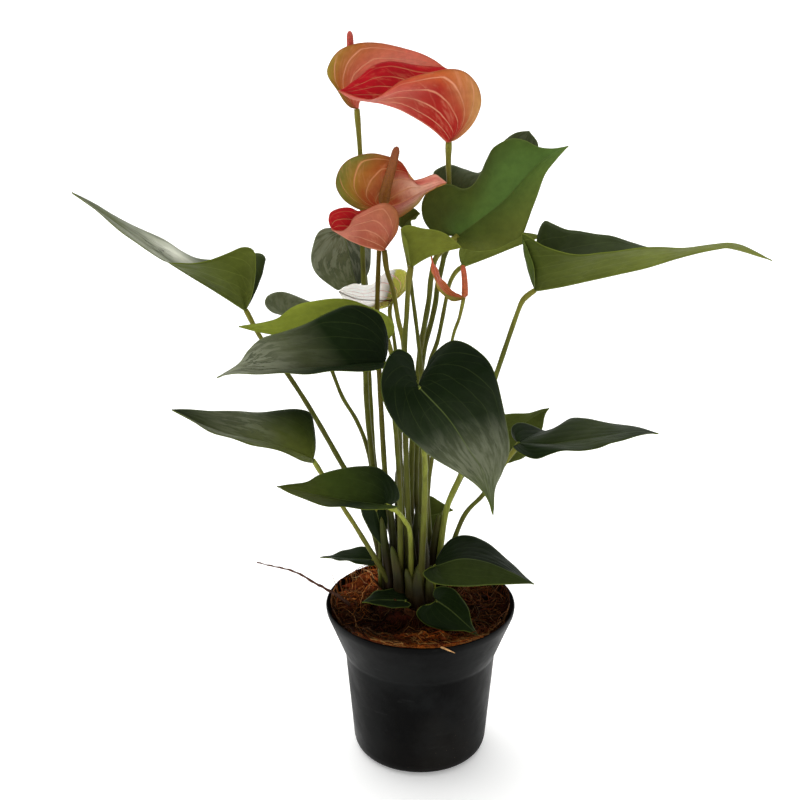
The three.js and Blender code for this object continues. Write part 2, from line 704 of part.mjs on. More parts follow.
// The stalk of a blade, from just short of the blade down to the crown.
function stalk(shape, shortBy = 1.1) {
  const [tipGirth, footGirth] = shape.girth;
  const joint = onSightLine(shape.rib[0], shape.depth[0]);
  const low = joint.z < CROWN_LEVEL + 20;
  const foot = vec(shape.foot[0], shape.foot[1], CROWN_LEVEL + (low ? 0.4 : 0));
  const points = [joint, ...shape.via.map(([x, z, depth]) => onSightLine([x, z], depth))];
  if (!low) points.push(foot.clone().add(vec(0, 0, 12)));
  points.push(foot);
  const towards = points[1].clone().sub(joint).normalize();
  points[0] = joint.clone().addScaledVector(towards, shortBy);
  const curve = splineThrough(points);
  const rings = Math.max(4, Math.round(curve.getLength() / 26));
  return rod(curve, (u) => mix(tipGirth, footGirth, u), rings, STEM_SIDES);
}

// The flower spike: a blunt rod that starts just clear of the spathe.
function spike(shape) {
  const [footGirth, tipGirth] = shape.spadixGirth;
  const curve = splineThrough(shape.spadix.map(([x, z, depth]) => onSightLine([x, z], depth)));
  const bluntShare = 0.12;
  const girth = (u) => {
    const fromEnd = Math.min(u, 1 - u) / bluntShare;
    return mix(footGirth, tipGirth, u) * Math.sqrt(1 - Math.max(0, 1 - fromEnd) ** 2 * 0.85);
  };
  return rod(curve, girth, 8, 8);
}

function solidOf(geometry) {
  const { position } = geometry.attributes;
  const mesh = new manifold.Mesh({
    numProp: 3,
    vertProperties: new Float32Array(position.array),
    triVerts: new Uint32Array(geometry.index.array),
  });
  return new manifold.Manifold(mesh);
}

function geometryOf(solid) {
  const mesh = solid.getMesh();
  const positions = [];
  for (let i = 0; i < mesh.numVert; i++) {
    const start = i * mesh.numProp;
    positions.push(...mesh.vertProperties.slice(start, start + 3));
  }
  const geometry = new THREE.BufferGeometry();
  geometry.setAttribute("position", new THREE.Float32BufferAttribute(positions, 3));
  geometry.setIndex(new THREE.BufferAttribute(mesh.triVerts, 1));
  return geometry;
}

function joined(geometries) {
  return geometryOf(geometries.map(solidOf).reduce((sum, next) => sum.add(next)));
}

// The pot: one wall turned about the axis, with drain holes through its floor.
function pot() {
  const rows = [...POT.outer, ...POT.inner].map(([r, z]) => circleRow(r, z, POT.segments));
  let body = solidOf(skin(rows));
  for (let i = 0; i < POT.drainHoles; i++) {
    const angle = (2 * Math.PI * i) / POT.drainHoles;
    const hole = skin([-1, 6].map((z) => circleRow(POT.drainRadius, z, 10)));
    hole.translate(POT.drainCircle * Math.cos(angle), POT.drainCircle * Math.sin(angle), 0);
    body = body.subtract(solidOf(hole));
  }
  return geometryOf(body);
}

// The planting mix fills the pot; its top is lumpy except under the crown, and higher at the back left.
function soil() {
  const { segments, rings, flatRadius, flatLevel, level, lumpHeight, backHump } = SOIL;
  const rows = SOIL.side.map(([r, z]) => circleRow(r, z, segments));
  const rimRadius = SOIL.side[SOIL.side.length - 1][0] - 1;
  for (let ring = 0; ring <= rings; ring++) {
    const share = ring / rings;
    const radius = mix(rimRadius, flatRadius, share);
    const row = circleRow(radius, level, segments);
    row.forEach((p, i) => {
      const angle = (2 * Math.PI * i) / segments;
      const lump = Math.sin(5 * angle + 2 * ring) + Math.sin(11 * angle - 3 * ring);
      const hump = Math.max(0, Math.cos(angle - degrees(135))) * Math.sin(Math.PI * share);
      const raised = level + (lumpHeight / 2) * lump + backHump * hump;
      p.z = ring === rings ? flatLevel : raised;
    });
    rows.push(row);
  }
  return skin(rows);
}

// The crown: a low knotted mound with dry scales standing round its edge.
function crown() {
  const { radius, top, lobes, lobeDepth, segments } = CROWN;
  const wobble = (angle) => lobeDepth * Math.sin(lobes * angle);
  const bottom = SOIL.flatLevel + GAP;
  const mound = skin([
    circleRow(radius + 1, bottom, segments, wobble),
    circleRow(radius + 0.5, mix(bottom, top, 0.6), segments, wobble),
    circleRow(radius - 2, top, segments),
  ]);
  const scales = SCALES.map(({ bearing, height, lean }) => {
    const angle = degrees(bearing);
    const out = vec(Math.cos(angle), Math.sin(angle), 0);
    const foot = out.clone().multiplyScalar(radius - 0.5).setZ(mix(bottom, top, 0.3));
    const tip = foot.clone().addScaledVector(out, lean).add(vec(0, 0, height));
    const middle = foot.clone().lerp(tip, 0.5).addScaledVector(out, 1.5);
    return rod(splineThrough([foot, middle, tip]), (u) => mix(2.2, 0.4, u ** 1.5), 5, 6);
  });
  return joined([mound, ...scales]);
}

function twig() {
  const curve = splineThrough(TWIG.path.map(([x, z, depth]) => onSightLine([x, z], depth)));
  return rod(curve, (u) => mix(TWIG.girth[0], TWIG.girth[1], u), 8, 5);
}

const part = new THREE.Group();
part.name = "potted_anthurium";

function add(name, geometry, color, roughness) {
  const material = new THREE.MeshStandardMaterial({ color, roughness, metalness: 0 });
  const mesh = new THREE.Mesh(geometry, material);
  mesh.name = name;
  part.add(mesh);
}

add("pot", pot(), COLOURS.pot, 0.4);
add("soil", soil(), COLOURS.soil, 0.95);
add("crown", crown(), COLOURS.crown, 0.9);
add("twig", twig(), COLOURS.twig, 0.9);

Object.entries(LEAVES).forEach(([name, shape]) => {
  const color = name === "left_young" ? COLOURS.youngLeaf : COLOURS.leaf;
  add(`leaf_${name}`, blade(shape), color, 0.45);
  add(`petiole_${name}`, stalk(shape, shape.shortBy), COLOURS.petiole, 0.5);
});

Object.entries(TINY_LEAVES).forEach(([name, shape]) => {
  const whole = joined([blade(shape, 8, 2), stalk(shape, 0)]);
  add(`leaf_${name}`, whole, COLOURS.leaf, 0.45);
});

Object.entries(FLOWERS).forEach(([name, shape]) => {
  const color = name === "pale" ? COLOURS.paleSpathe : COLOURS.spathe;
  add(`spathe_${name}`, blade(shape), color, 0.4);
  add(`peduncle_${name}`, stalk(shape, shape.shortBy), COLOURS.petiole, 0.5);
  add(`spadix_${name}`, spike(shape), COLOURS.spadix, 0.6);
});

export default part;
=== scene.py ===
"""Potted anthurium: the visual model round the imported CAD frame.

Shapes are laid out in millimetres and become metres when a mesh is made. +Z is up, +X to the right as
seen from the front, and the origin is the centre of the pot's underside.

Blades and stems lie on sight lines, as in the CAD: a point (x, z) of the upright plane through the pot's
axis is slid to a depth along the line from EYE, and depths grow away from the front.
"""

import math
import random

import bmesh
import bpy
import numpy as np
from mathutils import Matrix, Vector, noise


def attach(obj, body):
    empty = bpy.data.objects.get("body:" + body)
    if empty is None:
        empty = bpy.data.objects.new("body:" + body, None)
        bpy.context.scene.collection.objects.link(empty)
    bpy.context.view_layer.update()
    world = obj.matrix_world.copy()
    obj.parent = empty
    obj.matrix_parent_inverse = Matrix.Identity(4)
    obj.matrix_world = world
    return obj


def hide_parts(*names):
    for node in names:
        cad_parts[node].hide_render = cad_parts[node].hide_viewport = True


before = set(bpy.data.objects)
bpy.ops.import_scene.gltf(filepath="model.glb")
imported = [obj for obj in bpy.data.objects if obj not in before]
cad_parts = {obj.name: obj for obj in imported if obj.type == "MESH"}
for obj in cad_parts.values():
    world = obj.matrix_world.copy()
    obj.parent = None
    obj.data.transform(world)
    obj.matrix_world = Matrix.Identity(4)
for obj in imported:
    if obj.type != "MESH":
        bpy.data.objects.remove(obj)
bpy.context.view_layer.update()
random.seed(7)

METRE = 0.001
EYE = np.array([-12.9, -800.0, 537.0])
CAMERA_PITCH = math.radians(20.46)
CAMERA_LENS = 63.9

# The studio: how bright it is in front of the plant, behind it and from the floor, and the floor's disc.
FRONT_WALL = 0.08
BACK_WALL = 1.05
FLOOR_GLOW = 0.25
FLOOR_RADIUS = 60_000
FLOOR_SEGMENTS = 96

POT_OUTER = [
    (34, 0), (37, 0.3), (38.5, 0.8), (40.2, 1.9), (41.5, 3.5), (42.3, 5.6), (42.8, 8), (44.6, 30),
    (46.4, 51), (47.8, 68.6), (48.0, 69.8), (48.8, 71.3), (49.4, 72.8), (52.4, 80.6), (55.8, 89.4),
    (58.8, 97.0), (59.4, 98.6), (59.7, 100.4), (59.8, 101.6), (59.6, 102.3),
]
POT_INNER = [
    (59.1, 102.6), (58.8, 101.9), (58.5, 99.6), (57.6, 97), (52.8, 85), (48.2, 74.0), (47.2, 72.0),
    (46.7, 70), (43.8, 38), (41.2, 9), (40.6, 6.8), (39.4, 5), (38, 3.4), (36, 2.4),
]
POT_SEGMENTS = 160
POT_SHARP_ANGLE = 35
RIM_TOP = 102.8
DRAIN_HOLES = 6
DRAIN_PROFILE = [(3.5, -2), (3.5, 7)]
DRAIN_SEGMENTS = 24
DRAIN_CIRCLE = 29.0

# The planting mix: its level, its side against the pot, its grid, and its top, which spans from there to a
# small flat at the centre. Its lumps are given by height and fineness, and places where it swells or
# changes colour by how much, the bearing in degrees, the distance from the axis and the spread. Chips and
# strands stay within their reach, and strands climb the rim from its foot on.
SOIL_LEVEL = 98.6
SOIL_SIDE = [(35, 3.6), (38.4, 5.6), (40.5, 9.4), (46, 70.2), (47.3, 73.9), (56.3, 95.6)]
SOIL_SEGMENTS = 180
SOIL_RINGS = 60
SOIL_SPAN = 56.9
SOIL_FLAT = 0.3
SOIL_LUMPS = [(3.2, 0.09), (2.6, 0.2), (0.9, 0.7)]
SOIL_HEAPS = [(6.5, 128, 42, 13), (7.5, -108, 51, 11)]
SOIL_DIPS = [(7, 200, 48, 13), (5, -8, 50, 13)]
PALE_COIR = [(0.8, 135, 46, 15), (0.22, -108, 52, 11), (0.1, 0, 45, 22)]
# Darker where the mix dips at the left and the right front: painted shade.
SHADED_DIPS = [(0.3, 200, 44, 20), (0.12, -10, 48, 16)]
SOIL_REACH = 56.5
RIM_FOOT = 55
RIM_REACH = 59.6
STRAND_STEP = 2.2
STRAND_SIDES = 4
STRAND_WANDER = 0.13
CHIP_COUNT = 230
CHIP_REACH = 54
CHIP_SIZES = (0.8, 2.6)
CHIP_STRETCH = (1.5, 0.8, 0.6)

# The mound that stems rise from, and how deep stems and scales sink into it.
CROWN_LEVEL = 106.4
CROWN_RADIUS = 27.5
CROWN_SEGMENTS = 96
CROWN_PROFILE = [
    (28.2, 97.5), (27.6, 99.3), (26.6, 101.4), (25.2, 103.2), (23, 104.7), (20, 105.8), (14, 106.2),
    (7, 106.4), (1, 106.4),
]
STEM_SINK = 3
SCALE_SINK = 4

# Blades: the share of the edge, counted from the notch, whose veins all start at the stalk joint, the
# thickness at the rib and at the edge, the midrib's extra height and half width, how far each half
# bulges, the veins' number and relief, the gutter over the rib, and the waves and lumps towards the edge.
# A grid is rows from notch to tip by columns from rib to edge.
FAN_SHARE = 0.34
BLADE_THICKNESS = 0.55
EDGE_THICKNESS = 0.3
MIDRIB_HEIGHT = 0.9
MIDRIB_WIDTH = 0.9
LEAF_CAMBER = 0.045
FLOWER_CAMBER = -0.03
LONG_VEINS = 4.5
LONG_VEIN_SPREAD = 0.42
SIDE_VEINS = 8.5
VEIN_SWEEP = 0.2
VEIN_RELIEF = 0.16
GUTTER_DEPTH = 0.5
GUTTER_WIDTH = 1.3
EDGE_WAVES = 3.2
WAVE_HEIGHT = 0.6
LUMP_HEIGHT = 0.6
LEAF_GRID = (84, 18)
TINY_GRID = (40, 10)
FLOWER_GRID = (72, 16)
# The first seed of the waves in the tiny leaves and in the flowers. That of the leaves is 0.
TINY_SEED = 30
FLOWER_SEED = 50

# Grids of the other pieces, and the thickness of a scale. A stem has a ring every STEM_STEP, a joint that
# swells round JOINT_MIDDLE below its blade, and a sheath that fades out above its foot. A spadix has
# SPADIX_RINGS to the millimetre, with rows of domes.
STEM_STEP = 3
STEM_SIDES = 14
JOINT_MIDDLE = 5
JOINT_SPREAD = 6
SHEATH_SWELL = 0.3
SHEATH_SPREAD = 9
SHOOT_RINGS = 30
SHOOT_SIDES = 12
TWIG_RINGS = 90
TWIG_SIDES = 8
HAIR_RINGS = 24
HAIR_SIDES = 6
SCALE_GRID = (14, 6)
SCALE_THICKNESS = 0.22
SPADIX_RINGS = 3.2
SPADIX_SIDES = 36
DOMES_ROUND = 8
DOME_ROW = 1.25
DOME_HEIGHT = 0.16

# Each blade's outline as points (x, z), and the depth at its joint and its tip. reach is how much deeper
# the middles of its left and right edges lie, and lobe_depth the same for its lobes. Its stem runs
# through via, points (x, z, depth), to foot, a place (x, y) on the crown. radii are the stem's at the
# blade and at the foot, and spadix_radii those of a spadix at its foot and its tip.
LEAVES = {
    "left_top": dict(
        depth=(12, 0), reach=(-30, 32), foot=(-23, 3), radii=(1.3, 2.0),
        rib=[(-103.5, 295), (-121, 307), (-136.5, 317), (-151, 327), (-167.5, 340), (-186, 354.5),
             (-200, 365)],
        left=[(-99, 306), (-96.5, 320.5), (-97.5, 330.5), (-103.5, 332.5), (-112.5, 329), (-126, 325),
              (-139.5, 323.5), (-151, 324.5), (-167.5, 337.5), (-186, 353)],
        right=[(-98, 307), (-93, 319), (-90.5, 326), (-95, 329.5), (-107, 327), (-119, 325), (-130, 326.5),
               (-139, 331), (-148.5, 337), (-167, 346), (-185.5, 357.5)],
        via=[(-94.5, 276.5, 14), (-80, 255, 14), (-65.5, 230, 13), (-48, 196, 10), (-34, 169, 7)],
    ),
    "left_back": dict(
        depth=(66, 72), reach=(8, -15), foot=(-19, 12), radii=(1.1, 1.7),
        rib=[(-68, 290), (-59, 292), (-49.5, 291.5), (-41, 289.5)],
        left=[(-76.5, 293.5), (-86.5, 293), (-92, 298), (-90.5, 303.5), (-83.5, 306), (-74, 303.5),
              (-62, 299), (-50.5, 294.5)],
        right=[(-72, 286.5), (-78, 282), (-73.5, 277), (-61.5, 277), (-49.5, 282)],
        via=[(-61.5, 276.5, 70), (-54, 258.5, 62), (-47.5, 240.5, 52), (-39, 225, 41), (-32.5, 206, 30),
             (-27, 172.5, 20)],
    ),
    "left_young": dict(
        depth=(5, -3), reach=(-18, 16), foot=(-9, 3.5), radii=(1.2, 1.8),
        rib=[(-20, 276.5), (-42.5, 279.5), (-66, 281), (-84, 280), (-97, 282), (-108, 285)],
        left=[(-16.5, 282), (-17.5, 288), (-23.5, 293.5), (-33.5, 298.5), (-43.5, 301), (-57, 301.5),
              (-68.5, 300), (-76.5, 296), (-84.5, 290), (-94, 287.5)],
        right=[(-19, 280), (-24.5, 285.5), (-42.5, 292), (-66, 290), (-83.5, 285), (-94.5, 283.5)],
        via=[(-17, 262.5, 7), (-14.5, 238.5, 6), (-13, 199.5, 5)],
    ),
    "left_middle": dict(
        depth=(-36, -48), reach=(-24, 16), foot=(-12.5, -9), radii=(1.3, 2.0),
        rib=[(-22, 262), (-42.5, 260), (-60.5, 259), (-78.5, 258.5), (-95, 257.5), (-108.5, 258.5),
             (-122.5, 253)],
        left=[(-19.5, 259.5), (-28, 257.5), (-42.5, 257), (-66.5, 255.5), (-90.5, 255), (-108.5, 255.5)],
        right=[(-20, 272), (-21, 282.5), (-25, 292.5), (-33, 297), (-43.5, 298), (-55, 293.5), (-69, 286.5),
               (-82.5, 281.5), (-94.5, 277.5), (-103, 270), (-109.5, 261.5)],
        via=[(-17.5, 238.5, -34), (-14.5, 206, -26), (-13, 172.5, -18)],
    ),
    "left_low": dict(
        depth=(-14, -28), reach=(-28, 22), foot=(-20, -6), radii=(1.2, 1.8),
        rib=[(-66, 199.5), (-78.5, 205.5), (-95, 210.5), (-107, 212.5), (-119, 216), (-131, 221),
             (-141, 227), (-150.5, 232.5)],
        left=[(-65.5, 197.5), (-71, 198.5), (-80, 202.5), (-95, 208), (-107, 210.5), (-119, 214.5),
              (-131, 220)],
        right=[(-64.5, 208), (-64.5, 221), (-67, 230), (-74.5, 232.5), (-86.5, 232), (-102, 231),
               (-122.5, 231.5), (-138.5, 232.5)],
        via=[(-60.5, 189.5, -13), (-54, 178, -12), (-47.5, 166.5, -11), (-38, 150, -10)],
    ),
    "front_left": dict(
        depth=(-38, -46), reach=(-20, 17), foot=(-6, -12), radii=(1.2, 1.8),
        rib=[(-22, 169), (-32.5, 170.5), (-47, 172.5), (-62, 175.5), (-74.5, 178.5), (-88.5, 182)],
        left=[(-18, 166.5), (-13.5, 168), (-19, 166), (-30, 166.5), (-45, 167), (-63.5, 170), (-76, 174.5)],
        right=[(-17, 170), (-13, 174), (-14.5, 182), (-20.5, 189.5), (-28, 195), (-38.5, 195.5), (-51, 193),
               (-63, 189.5), (-71.5, 184.5)],
        via=[(-15, 165, -33), (-10, 158.5, -27), (-6.5, 148.5, -21)],
    ),
    "front_heart": dict(
        depth=(-72, -104), reach=(14, -4), lobe_depth=8, foot=(0, -14), radii=(1.4, 2.2),
        rib=[(-2, 247), (15.5, 227.5), (28, 208), (38.5, 190), (45, 162.5)],
        left=[(1, 252.5), (5, 264), (11, 272), (18.5, 276.5), (28.5, 273.5), (39, 264), (44.5, 252.5),
              (49, 236.5), (52.5, 219), (53.5, 204), (50, 191), (46, 179.5)],
        right=[(-4, 255), (-5, 264), (-8, 268.5), (-14.5, 271), (-20.5, 265), (-24.5, 251.5),
               (-22.5, 236.5), (-14.5, 221), (-5, 211.5), (7.5, 200.5), (24, 190), (35, 181.5),
               (41.5, 172.5)],
        via=[(-0.5, 238.5, -60), (1.5, 212.5, -44), (2.5, 179.5, -28)],
    ),
    "right_back": dict(
        depth=(48, 44), reach=(8, -8), foot=(14, 14), radii=(1.2, 1.8),
        rib=[(39, 212.5), (57, 220.5), (67, 227), (77, 233.5)],
        left=[(34.5, 218), (35.5, 225), (41.5, 228), (50.5, 229.5), (61.5, 230), (69.5, 231.5)],
        right=[(41.5, 204.5), (46, 198.5), (51.5, 197), (57, 198.5), (63.5, 201.5), (71, 210.5),
               (73.5, 220.5), (74.5, 228)],
        via=[(33, 202.5, 44), (25, 188, 38), (17.5, 170.5, 28), (12.5, 155.5, 21)],
    ),
    "right_middle": dict(
        depth=(0, -8), reach=(22, -20), foot=(13, -5), radii=(1.2, 1.8),
        rib=[(59.5, 210.5), (75.5, 209.5), (93.5, 212), (111.5, 215), (129.5, 218), (144, 217)],
        left=[(55, 215), (54.5, 220.5), (57.5, 223.5), (62.5, 223.5), (70, 220.5), (76, 219), (84, 222.5),
              (90, 226.5), (99, 226.5), (108, 225), (120, 223), (132.5, 220.5)],
        right=[(55.5, 208.5), (58, 205.5), (63.5, 202.5), (71, 200.5), (78.5, 202.5), (89, 205.5),
               (107, 206.5), (116.5, 210.5), (130, 215)],
        via=[(51.5, 197.5, 0), (38.5, 176.5, -2), (25.5, 159, -3)],
    ),
    "right_top": dict(
        depth=(10, -8), reach=(34, -32), foot=(11, 3), radii=(1.4, 2.1),
        rib=[(66, 307), (80.5, 309.5), (96, 313), (113.5, 317), (130.5, 321), (149.5, 327), (168, 331.5),
             (185, 333), (203, 325)],
        left=[(66.5, 324), (67.5, 334), (67, 342), (70, 348.5), (75, 347), (83, 343.5), (90.5, 342.5),
              (100.5, 340.5), (110, 339), (121.5, 335.5), (133.5, 332.5), (155, 330.5), (175, 332.5)],
        right=[(64.5, 320.5), (61, 330.5), (57, 340.5), (62, 338.5), (69.5, 333.5), (78.5, 330.5),
               (91.5, 329), (110.5, 330.5), (133.5, 332.5), (149, 333), (168, 334.5), (183.5, 334)],
        via=[(60.5, 302.5, 10), (56.5, 294.5, 10), (44, 253, 9), (34.5, 222.5, 8), (24.5, 190, 6),
             (15.5, 164.5, 5)],
    ),
    "top_right": dict(
        depth=(28, 16), reach=(10, -16), lobe_depth=-6, foot=(-5, 17.5), radii=(1.6, 2.0),
        rib=[(20.5, 339.5), (33, 349), (46, 359.5), (57, 372), (68, 383.5), (82, 391.5)],
        left=[(14, 340), (5.5, 342.5), (0.5, 349), (-0.5, 358), (2.5, 365), (8, 368.5), (15.5, 369.5),
              (22.5, 367), (28, 369), (32.5, 376), (36.5, 384.5), (40.5, 391), (49.5, 395.5), (57.5, 394.5),
              (65, 391), (73.5, 390)],
        right=[(20.5, 333.5), (26.5, 331), (33.5, 330), (42, 331.5), (50.5, 335.5), (57.5, 339.5),
               (60.5, 347), (63, 356.5), (67, 368), (70.5, 376.5), (76, 384.5)],
        via=[(14.5, 333.5, 25), (8.5, 327.5, 26), (6.5, 322, 27), (5, 313, 27), (4, 301, 27),
             (1, 282.5, 26), (-1, 270, 26), (-2.5, 251.5, 25), (-5, 225.5, 24), (-6, 179.5, 20)],
    ),
    "small_centre": dict(
        depth=(0, -2), reach=(14, -16), foot=(-6.5, -3.5), radii=(1.5, 1.9),
        rib=[(-6.5, 321.5), (1.5, 326.5), (10.5, 330), (22.5, 333)],
        left=[(-6.5, 326.5), (-5.5, 333.5), (-1.5, 337), (5.5, 337), (14.5, 334)],
        right=[(-7.5, 330), (-9.5, 337), (-11.5, 343.5), (-6, 345.5), (4.5, 343.5), (13, 341), (18.5, 337)],
        via=[(-8, 310, -1), (-9, 291.5, -2), (-10, 273.5, -3), (-10, 225.5, -4), (-8, 172.5, -4)],
    ),
    "small_right": dict(
        depth=(46, 44), reach=(14, -16), foot=(8.5, 10), radii=(1.2, 1.8),
        rib=[(23.5, 321.5), (39, 327.5), (53.5, 333.5), (69, 339.5)],
        left=[(23.5, 326.5), (24, 332.5), (30.5, 337), (42, 339.5), (56.5, 340)],
        right=[(22.5, 325), (21, 330), (23.5, 335.5), (30.5, 339), (42, 341), (56, 342)],
        via=[(19.5, 318, 44), (16, 311, 42), (14, 301, 39), (9.5, 276.5, 34), (4, 257.5, 30), (4, 219, 22),
             (4, 172.5, 15)],
    ),
    "hanging_back": dict(
        depth=(72, 64), reach=(6, -3), foot=(-13, 17), radii=(1.1, 1.7),
        rib=[(-45.5, 341), (-43, 331), (-41, 320.5), (-38, 310)],
        left=[(-41.5, 343.5), (-35.5, 342.5), (-31, 336.5), (-29.5, 327.5), (-31, 319), (-34, 312.5)],
        right=[(-49, 343.5), (-56, 344), (-60.5, 341), (-63, 334.5), (-64.5, 327), (-63.5, 320.5),
               (-60, 315), (-54, 310), (-49, 307), (-45.5, 309), (-42, 310)],
        via=[(-40.5, 344, 82), (-35.5, 332.5, 86), (-32.5, 310, 82), (-32, 282.5, 72), (-30.5, 238.5, 52),
             (-27, 186, 30)],
    ),
    "top_back": dict(
        depth=(78, 84), reach=(14, -12), foot=(8, 18), radii=(1.2, 1.9),
        rib=[(26, 363), (35.5, 372), (46.5, 384.5), (59.5, 400)],
        left=[(16.5, 365), (10, 368.5), (6, 375.5), (10, 379), (16, 380.5), (24.5, 378.5), (32.5, 376.5),
              (38, 384.5), (44.5, 393.5), (51.5, 398.5)],
        right=[(29.5, 357), (37.5, 352.5), (47, 356), (55.5, 366.5), (62.5, 380.5), (65, 392)],
        via=[(19.5, 343, 78), (13, 327, 72), (9.5, 310, 64), (8, 299, 60), (5.5, 287, 54), (2, 272.5, 48),
             (0, 254.5, 43), (0, 225.5, 38), (0, 179.5, 27)],
    ),
    "right_low": dict(
        depth=(-26, -44), reach=(16, -16), foot=(8, -12), radii=(1.2, 1.8),
        rib=[(9.5, 127), (25, 132), (40.5, 130), (56.5, 123), (72, 114.5)],
        left=[(10.5, 134), (16, 143), (23.5, 148), (32, 148.5), (40, 144.5), (48.5, 137), (57, 130),
              (64.5, 121)],
        right=[(4.5, 125.5), (1.5, 121.5), (7.5, 116), (18.5, 113), (31.5, 113), (44, 113.5),
               (58.5, 114.5)],
        via=[],
    ),
}
TINY_LEAVES = {
    "tiny_left": dict(
        depth=(12, 8), reach=(-7, 8), foot=(-23.5, 9.5), radii=(0.9, 1.4),
        rib=[(-30.5, 131.5), (-38, 132), (-47.5, 132.5), (-63, 133.5)],
        left=[(-28, 129), (-32, 127), (-40, 129), (-50.5, 131.5)],
        right=[(-28, 135), (-31.5, 139.5), (-40, 140.5), (-49, 137.5), (-56, 135)],
        via=[(-26.5, 125.5, 11)],
    ),
    "tiny_hanging": dict(
        depth=(-3, -6), reach=(3, -3), foot=(-25.3, -2.5), radii=(0.9, 1.4),
        rib=[(-28, 167), (-26, 159), (-24, 150), (-23, 139.5)],
        left=[(-25.5, 170.5), (-22, 168), (-21, 159.5), (-21, 149.5)],
        right=[(-31.5, 171.5), (-37, 169), (-36.5, 163), (-33.5, 155), (-29.5, 147.5)],
        via=[(-26.5, 155.5, 0), (-25.5, 144, 0)],
    ),
    "tiny_front": dict(
        depth=(-24, -47), reach=(4, -6), foot=(9, -20), radii=(0.9, 1.4),
        rib=[(10.5, 102.5), (19, 96), (28.5, 86.5), (38, 76.5)],
        left=[(8, 107.5), (11, 112.5), (20, 111.5), (26, 105), (30.5, 97.5), (33, 86.5)],
        right=[(6, 99.5), (0.5, 99), (-2.5, 93), (2.5, 86), (11.5, 82), (22.5, 80.5), (30, 80)],
        via=[],
    ),
    "tiny_soil": dict(
        depth=(-20, -26), reach=(-5, 8), foot=(-8, -19), radii=(0.9, 1.4),
        rib=[(-9.5, 102.5), (-19, 103), (-27.5, 103), (-37, 101.5)],
        left=[(-6, 99.5), (-11, 97.5), (-20.5, 98), (-29.5, 100)],
        right=[(-6, 104.5), (-11.5, 109), (-19, 111), (-28, 109.5), (-33, 105)],
        via=[],
    ),
    "tiny_right": dict(
        depth=(36, 34), reach=(6, -5), foot=(3.5, 23.2), radii=(0.9, 1.4),
        rib=[(4, 161.5), (9.5, 163), (15, 164.5), (20, 166)],
        left=[(2, 167), (1.5, 174), (5.5, 175.5), (10, 173), (15, 169.5)],
        right=[(2, 156.5), (3.5, 149.5), (6.5, 146.5), (9.5, 150), (12.5, 157.5), (16, 163)],
        via=[(2.5, 153.5, 36), (1.5, 142, 33)],
    ),
    "small_back": dict(
        depth=(42, 46), reach=(4, -3), foot=(1, 1.5), radii=(1.1, 1.6),
        rib=[(-11.5, 343.5), (-9.5, 347), (-6, 350), (-1.5, 353)],
        left=[(-13.5, 346.5), (-14, 352.5), (-9.5, 356), (-4.5, 355.5)],
        right=[(-9, 343), (-7, 345.5), (-6, 348.5), (-3, 350.5)],
        via=[(-10.5, 335.5, 34), (-8, 323.5, 26), (-6, 307, 20), (-2.5, 279.5, 15), (0, 254.5, 12),
             (0.5, 219, 9), (0, 179.5, 5)],
    ),
}
